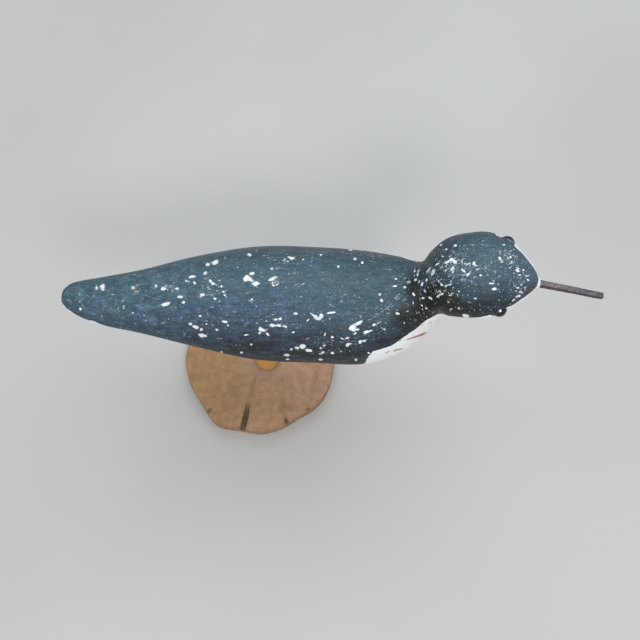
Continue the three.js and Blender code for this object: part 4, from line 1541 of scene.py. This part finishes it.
@dataclass(frozen=True)
class LogSlice:
    """The base: a slice sawn off a log, with drying cracks and a hole for the leg."""

    radius: float = 43.2
    thickness: float = 8.4
    edge: float = 0.5
    foot: tuple[float, float] = (4.4, 0.7)
    hole_radius: float = 7.3
    hole_bottom: float = 3.8
    steps: int = 640
    top_rings: int = 58
    side_rings: int = 14
    bottom_rings: int = 10
    raggedness: float = 0.3
    waves: tuple[Wave, ...] = (Wave(2, 0.4, 0.6), Wave(3, 0.3, 2.1), Wave(9, 0.12, 4.0))
    swells: tuple[Swell, ...] = (
        Swell(-147, 9, -0.6), Swell(-121, 12, 3), Swell(-88, 9, 0.9), Swell(-56, 14, -2.1), Swell(2, 9, 0.9),
        Swell(48, 14, 0.9), Swell(84, 10, -0.8), Swell(122, 16, 1.1), Swell(180, 12, 0.4),
    )
    cracks: tuple[Crack, ...] = (
        Crack(-101.2, 10.5, 3.9, 5.2, 0.3, opens=0.44),
        Crack(-65, 36, 3.2, 3.0, 0.2, opens=0.25),
        Crack(-132, 40, 3.2, 2.2, 0),
        Crack(-45.5, 40, 2.8, 1.6, 0),
        Crack(-35, 41, 1.4, 1.0, 0),
        Crack(64, 36, 1.6, 3.2, 0.2),
        Crack(151, 38.5, 1.3, 2.4, 0),
    )

    def rim(self, angle: float) -> float:
        """Return the slice's radius in a direction from its centre, in radians."""
        waved = sum(wave.height * math.cos(wave.count * angle + wave.phase) for wave in self.waves)
        return self.radius + waved + sum(swell.at(math.degrees(angle)) for swell in self.swells)

    def rim_from_foot(self, angle: float) -> float:
        """Return how far the rim is from the leg's line in a direction, in radians."""
        reach = self.radius
        for _ in range(8):
            x = self.foot[0] + reach * math.cos(angle)
            y = self.foot[1] + reach * math.sin(angle)
            reach += self.rim(math.atan2(y, x)) - math.hypot(x, y)
        return reach

    def profile(self) -> list[tuple[float, float]]:
        """Return the section's points: the share of the way out to the rim, and the height.

        The share is negative inside the leg's hole, where it runs to -1 at the
        hole's own line.
        """
        points = [(-1.0, 0.0), (0.0, 0.0)]
        points += [(0.985 * step / self.bottom_rings, 0.0) for step in range(1, self.bottom_rings + 1)]
        points += [(0.992, 0.06), (0.997, 0.2)]
        span = self.thickness - 2 * self.edge
        points += [(1.0, self.edge + span * step / self.side_rings) for step in range(self.side_rings + 1)]
        points += [(0.997, self.thickness - 0.2), (0.990, self.thickness - 0.05)]
        points += [(0.982 * (1 - step / self.top_rings), self.thickness) for step in range(self.top_rings)]
        points += [(0.004, self.thickness), (0.0, self.thickness - 0.12), (0.0, self.thickness / 2 + 2)]
        points += [(0.0, self.hole_bottom), (-1.0, self.hole_bottom)]
        return points

    def build(self) -> bpy.types.Object:
        """Spin the section about the leg's line, give it its outline and cracks, and return it."""
        shape = bmesh.new()
        unit = 40.0
        points = []
        for share, z in self.profile():
            out = 0.0 if share < 0 else self.hole_radius + share * unit
            points.append(shape.verts.new((out, 0, z)))
        section = [shape.edges.new(pair) for pair in zip(points, points[1:])]
        bmesh.ops.spin(
            shape, geom=points + section, cent=(0, 0, 0), axis=(0, 0, 1), dvec=(0, 0, 0),
            angle=2 * math.pi, steps=self.steps, use_merge=True, use_duplicate=False,
        )
        bmesh.ops.remove_doubles(shape, verts=shape.verts, dist=0.001)
        self.trim(shape, unit)
        finish = EndGrain().material()
        return hand_over("sawn_log_slice", "log_slice_base", shape, finish)

    def trim(self, shape: bmesh.types.BMesh, unit: float) -> None:
        """Move the spun points out to the rim, and cut the cracks and the saw's marks.

        Args:
            shape: The spun section.
            unit: The width from the hole to the rim that it was spun with.
        """
        crack = shape.verts.layers.float.new("crack")
        rim = shape.verts.layers.float.new("rim")
        centre = Vector((*self.foot, 0.0))
        reaches: dict[int, float] = {}
        for vert in shape.verts:
            out = math.hypot(vert.co.x, vert.co.y)
            share = (out - self.hole_radius) / unit
            angle = math.atan2(vert.co.y, vert.co.x)
            z = vert.co.z
            if share > -0.001:
                key = round(angle * 1000)
                if key not in reaches:
                    reaches[key] = self.rim_from_foot(angle) - self.hole_radius
                on_rim = Vector((math.cos(angle) * self.radius, math.sin(angle) * self.radius, z))
                ragged = ripple(on_rim, (3.0, 3.0, 5.0), 5.0)
                bark = self.raggedness * (0.5 + 0.5 * ragged) * smooth_step(share, 0.9, 1.0)
                out = self.hole_radius + share * reaches[key] - bark
            spot = Vector((math.cos(angle) * out, math.sin(angle) * out, 0.0)) + centre
            vert[rim] = smooth_step(share, 0.94, 0.995)
            deep = max(item.depth_at(spot, self.rim(math.atan2(spot.y, spot.x))) for item in self.cracks)
            lifted = z / self.thickness if share > 0.0005 else 0.0
            drop = min(deep, self.thickness - 1.2) * (lifted if z < self.thickness - 0.6 else 1.0)
            vert[crack] = drop / 4.0
            uneven = 0.05 + 0.05 * ripple(spot, (9.0, 9.0, 9.0), 7.0) if z > self.thickness - 0.6 else 0.0
            vert.co = Vector((spot.x, spot.y, z - drop - uneven))


# The setting


@dataclass(frozen=True)
class Lamp:
    """A square soft light, aimed at the bird. One that is only a glint shows in the beads' gloss alone."""

    name: str
    place: tuple[float, float, float]
    size: float
    watts: float
    colour: Colour
    only_glint: bool = False


@dataclass(frozen=True)
class Studio:
    """A plain pale floor under soft lights, seen from the photograph's viewpoint."""

    floor_radius: float = 4000.0
    aim: tuple[float, float, float] = (30.0, 0.0, 90.0)
    air: Colour = (0.86, 0.92, 1.0)
    air_strength: float = 0.62
    lamps: tuple[Lamp, ...] = (
        Lamp("key", (120.0, 520.0, 1180.0), 1200.0, 11.5, (0.93, 0.97, 1.0)),
        Lamp("fill", (-500.0, -900.0, 620.0), 1200.0, 4.0, (1.0, 0.97, 0.93)),
        Lamp("window", (217.0, -613.0, 819.0), 220.0, 2.8, (1.0, 0.98, 0.95)),
        Lamp("catch_light", (217.0, -613.0, 819.0), 620.0, 26.0, (0.90, 0.94, 1.0), only_glint=True),
    )

    def build(self, beads: list[bpy.types.Object]) -> None:
        """Lay the floor, hang the lamps and set the air and the camera.

        Args:
            beads: The eyes, which alone show the catch light.
        """
        self.lay_floor()
        glossy = bpy.data.collections.new("glossy_beads")
        for bead in beads:
            glossy.objects.link(bead)
        for lamp in self.lamps:
            stand = self.hang(lamp)
            if lamp.only_glint:
                stand.light_linking.receiver_collection = glossy
                stand.visible_diffuse = False
                stand.visible_camera = False
        self.set_air()
        VIEW.set_camera()

    def lay_floor(self) -> None:
        """Lay the floor."""
        shape = bmesh.new()
        bmesh.ops.create_circle(
            shape, cap_ends=True, cap_tris=False, segments=128, radius=self.floor_radius * MM
        )
        mesh = bpy.data.meshes.new("floor")
        shape.to_mesh(mesh)
        shape.free()
        mesh.materials.append(PaleFloor().material())
        floor = bpy.data.objects.new("floor", mesh)
        bpy.context.scene.collection.objects.link(floor)

    def hang(self, lamp: Lamp) -> bpy.types.Object:
        """Hang a lamp, turned to face the bird, and return it."""
        light = bpy.data.lights.new(lamp.name, "AREA")
        light.size = lamp.size * MM
        light.energy = lamp.watts
        light.color = lamp.colour
        stand = bpy.data.objects.new(lamp.name, light)
        place = Vector(lamp.place)
        facing = (Vector(self.aim) - place).to_track_quat("-Z", "Y")
        stand.matrix_world = Matrix.Translation(place * MM) @ facing.to_matrix().to_4x4()
        bpy.context.scene.collection.objects.link(stand)
        return stand

    def set_air(self) -> None:
        """Fill the room with dim even light."""
        world = bpy.data.worlds.new("pale_air")
        world.use_nodes = True
        air = world.node_tree.nodes["Background"]
        air.inputs["Color"].default_value = (*self.air, 1.0)
        air.inputs["Strength"].default_value = self.air_strength
        bpy.context.scene.world = world
        bpy.context.scene.view_settings.view_transform = "Standard"


def main() -> None:
    """Build the setting and every piece of the bird."""
    logging.basicConfig(level=logging.INFO, format="%(name)s: %(message)s")
    LogSlice().build()
    DowelLeg().build()
    CarvedBird().build()
    Nail().build()
    beads = BeadEyes().build()
    Studio().build(beads)


if __name__ == "__main__":
    main()
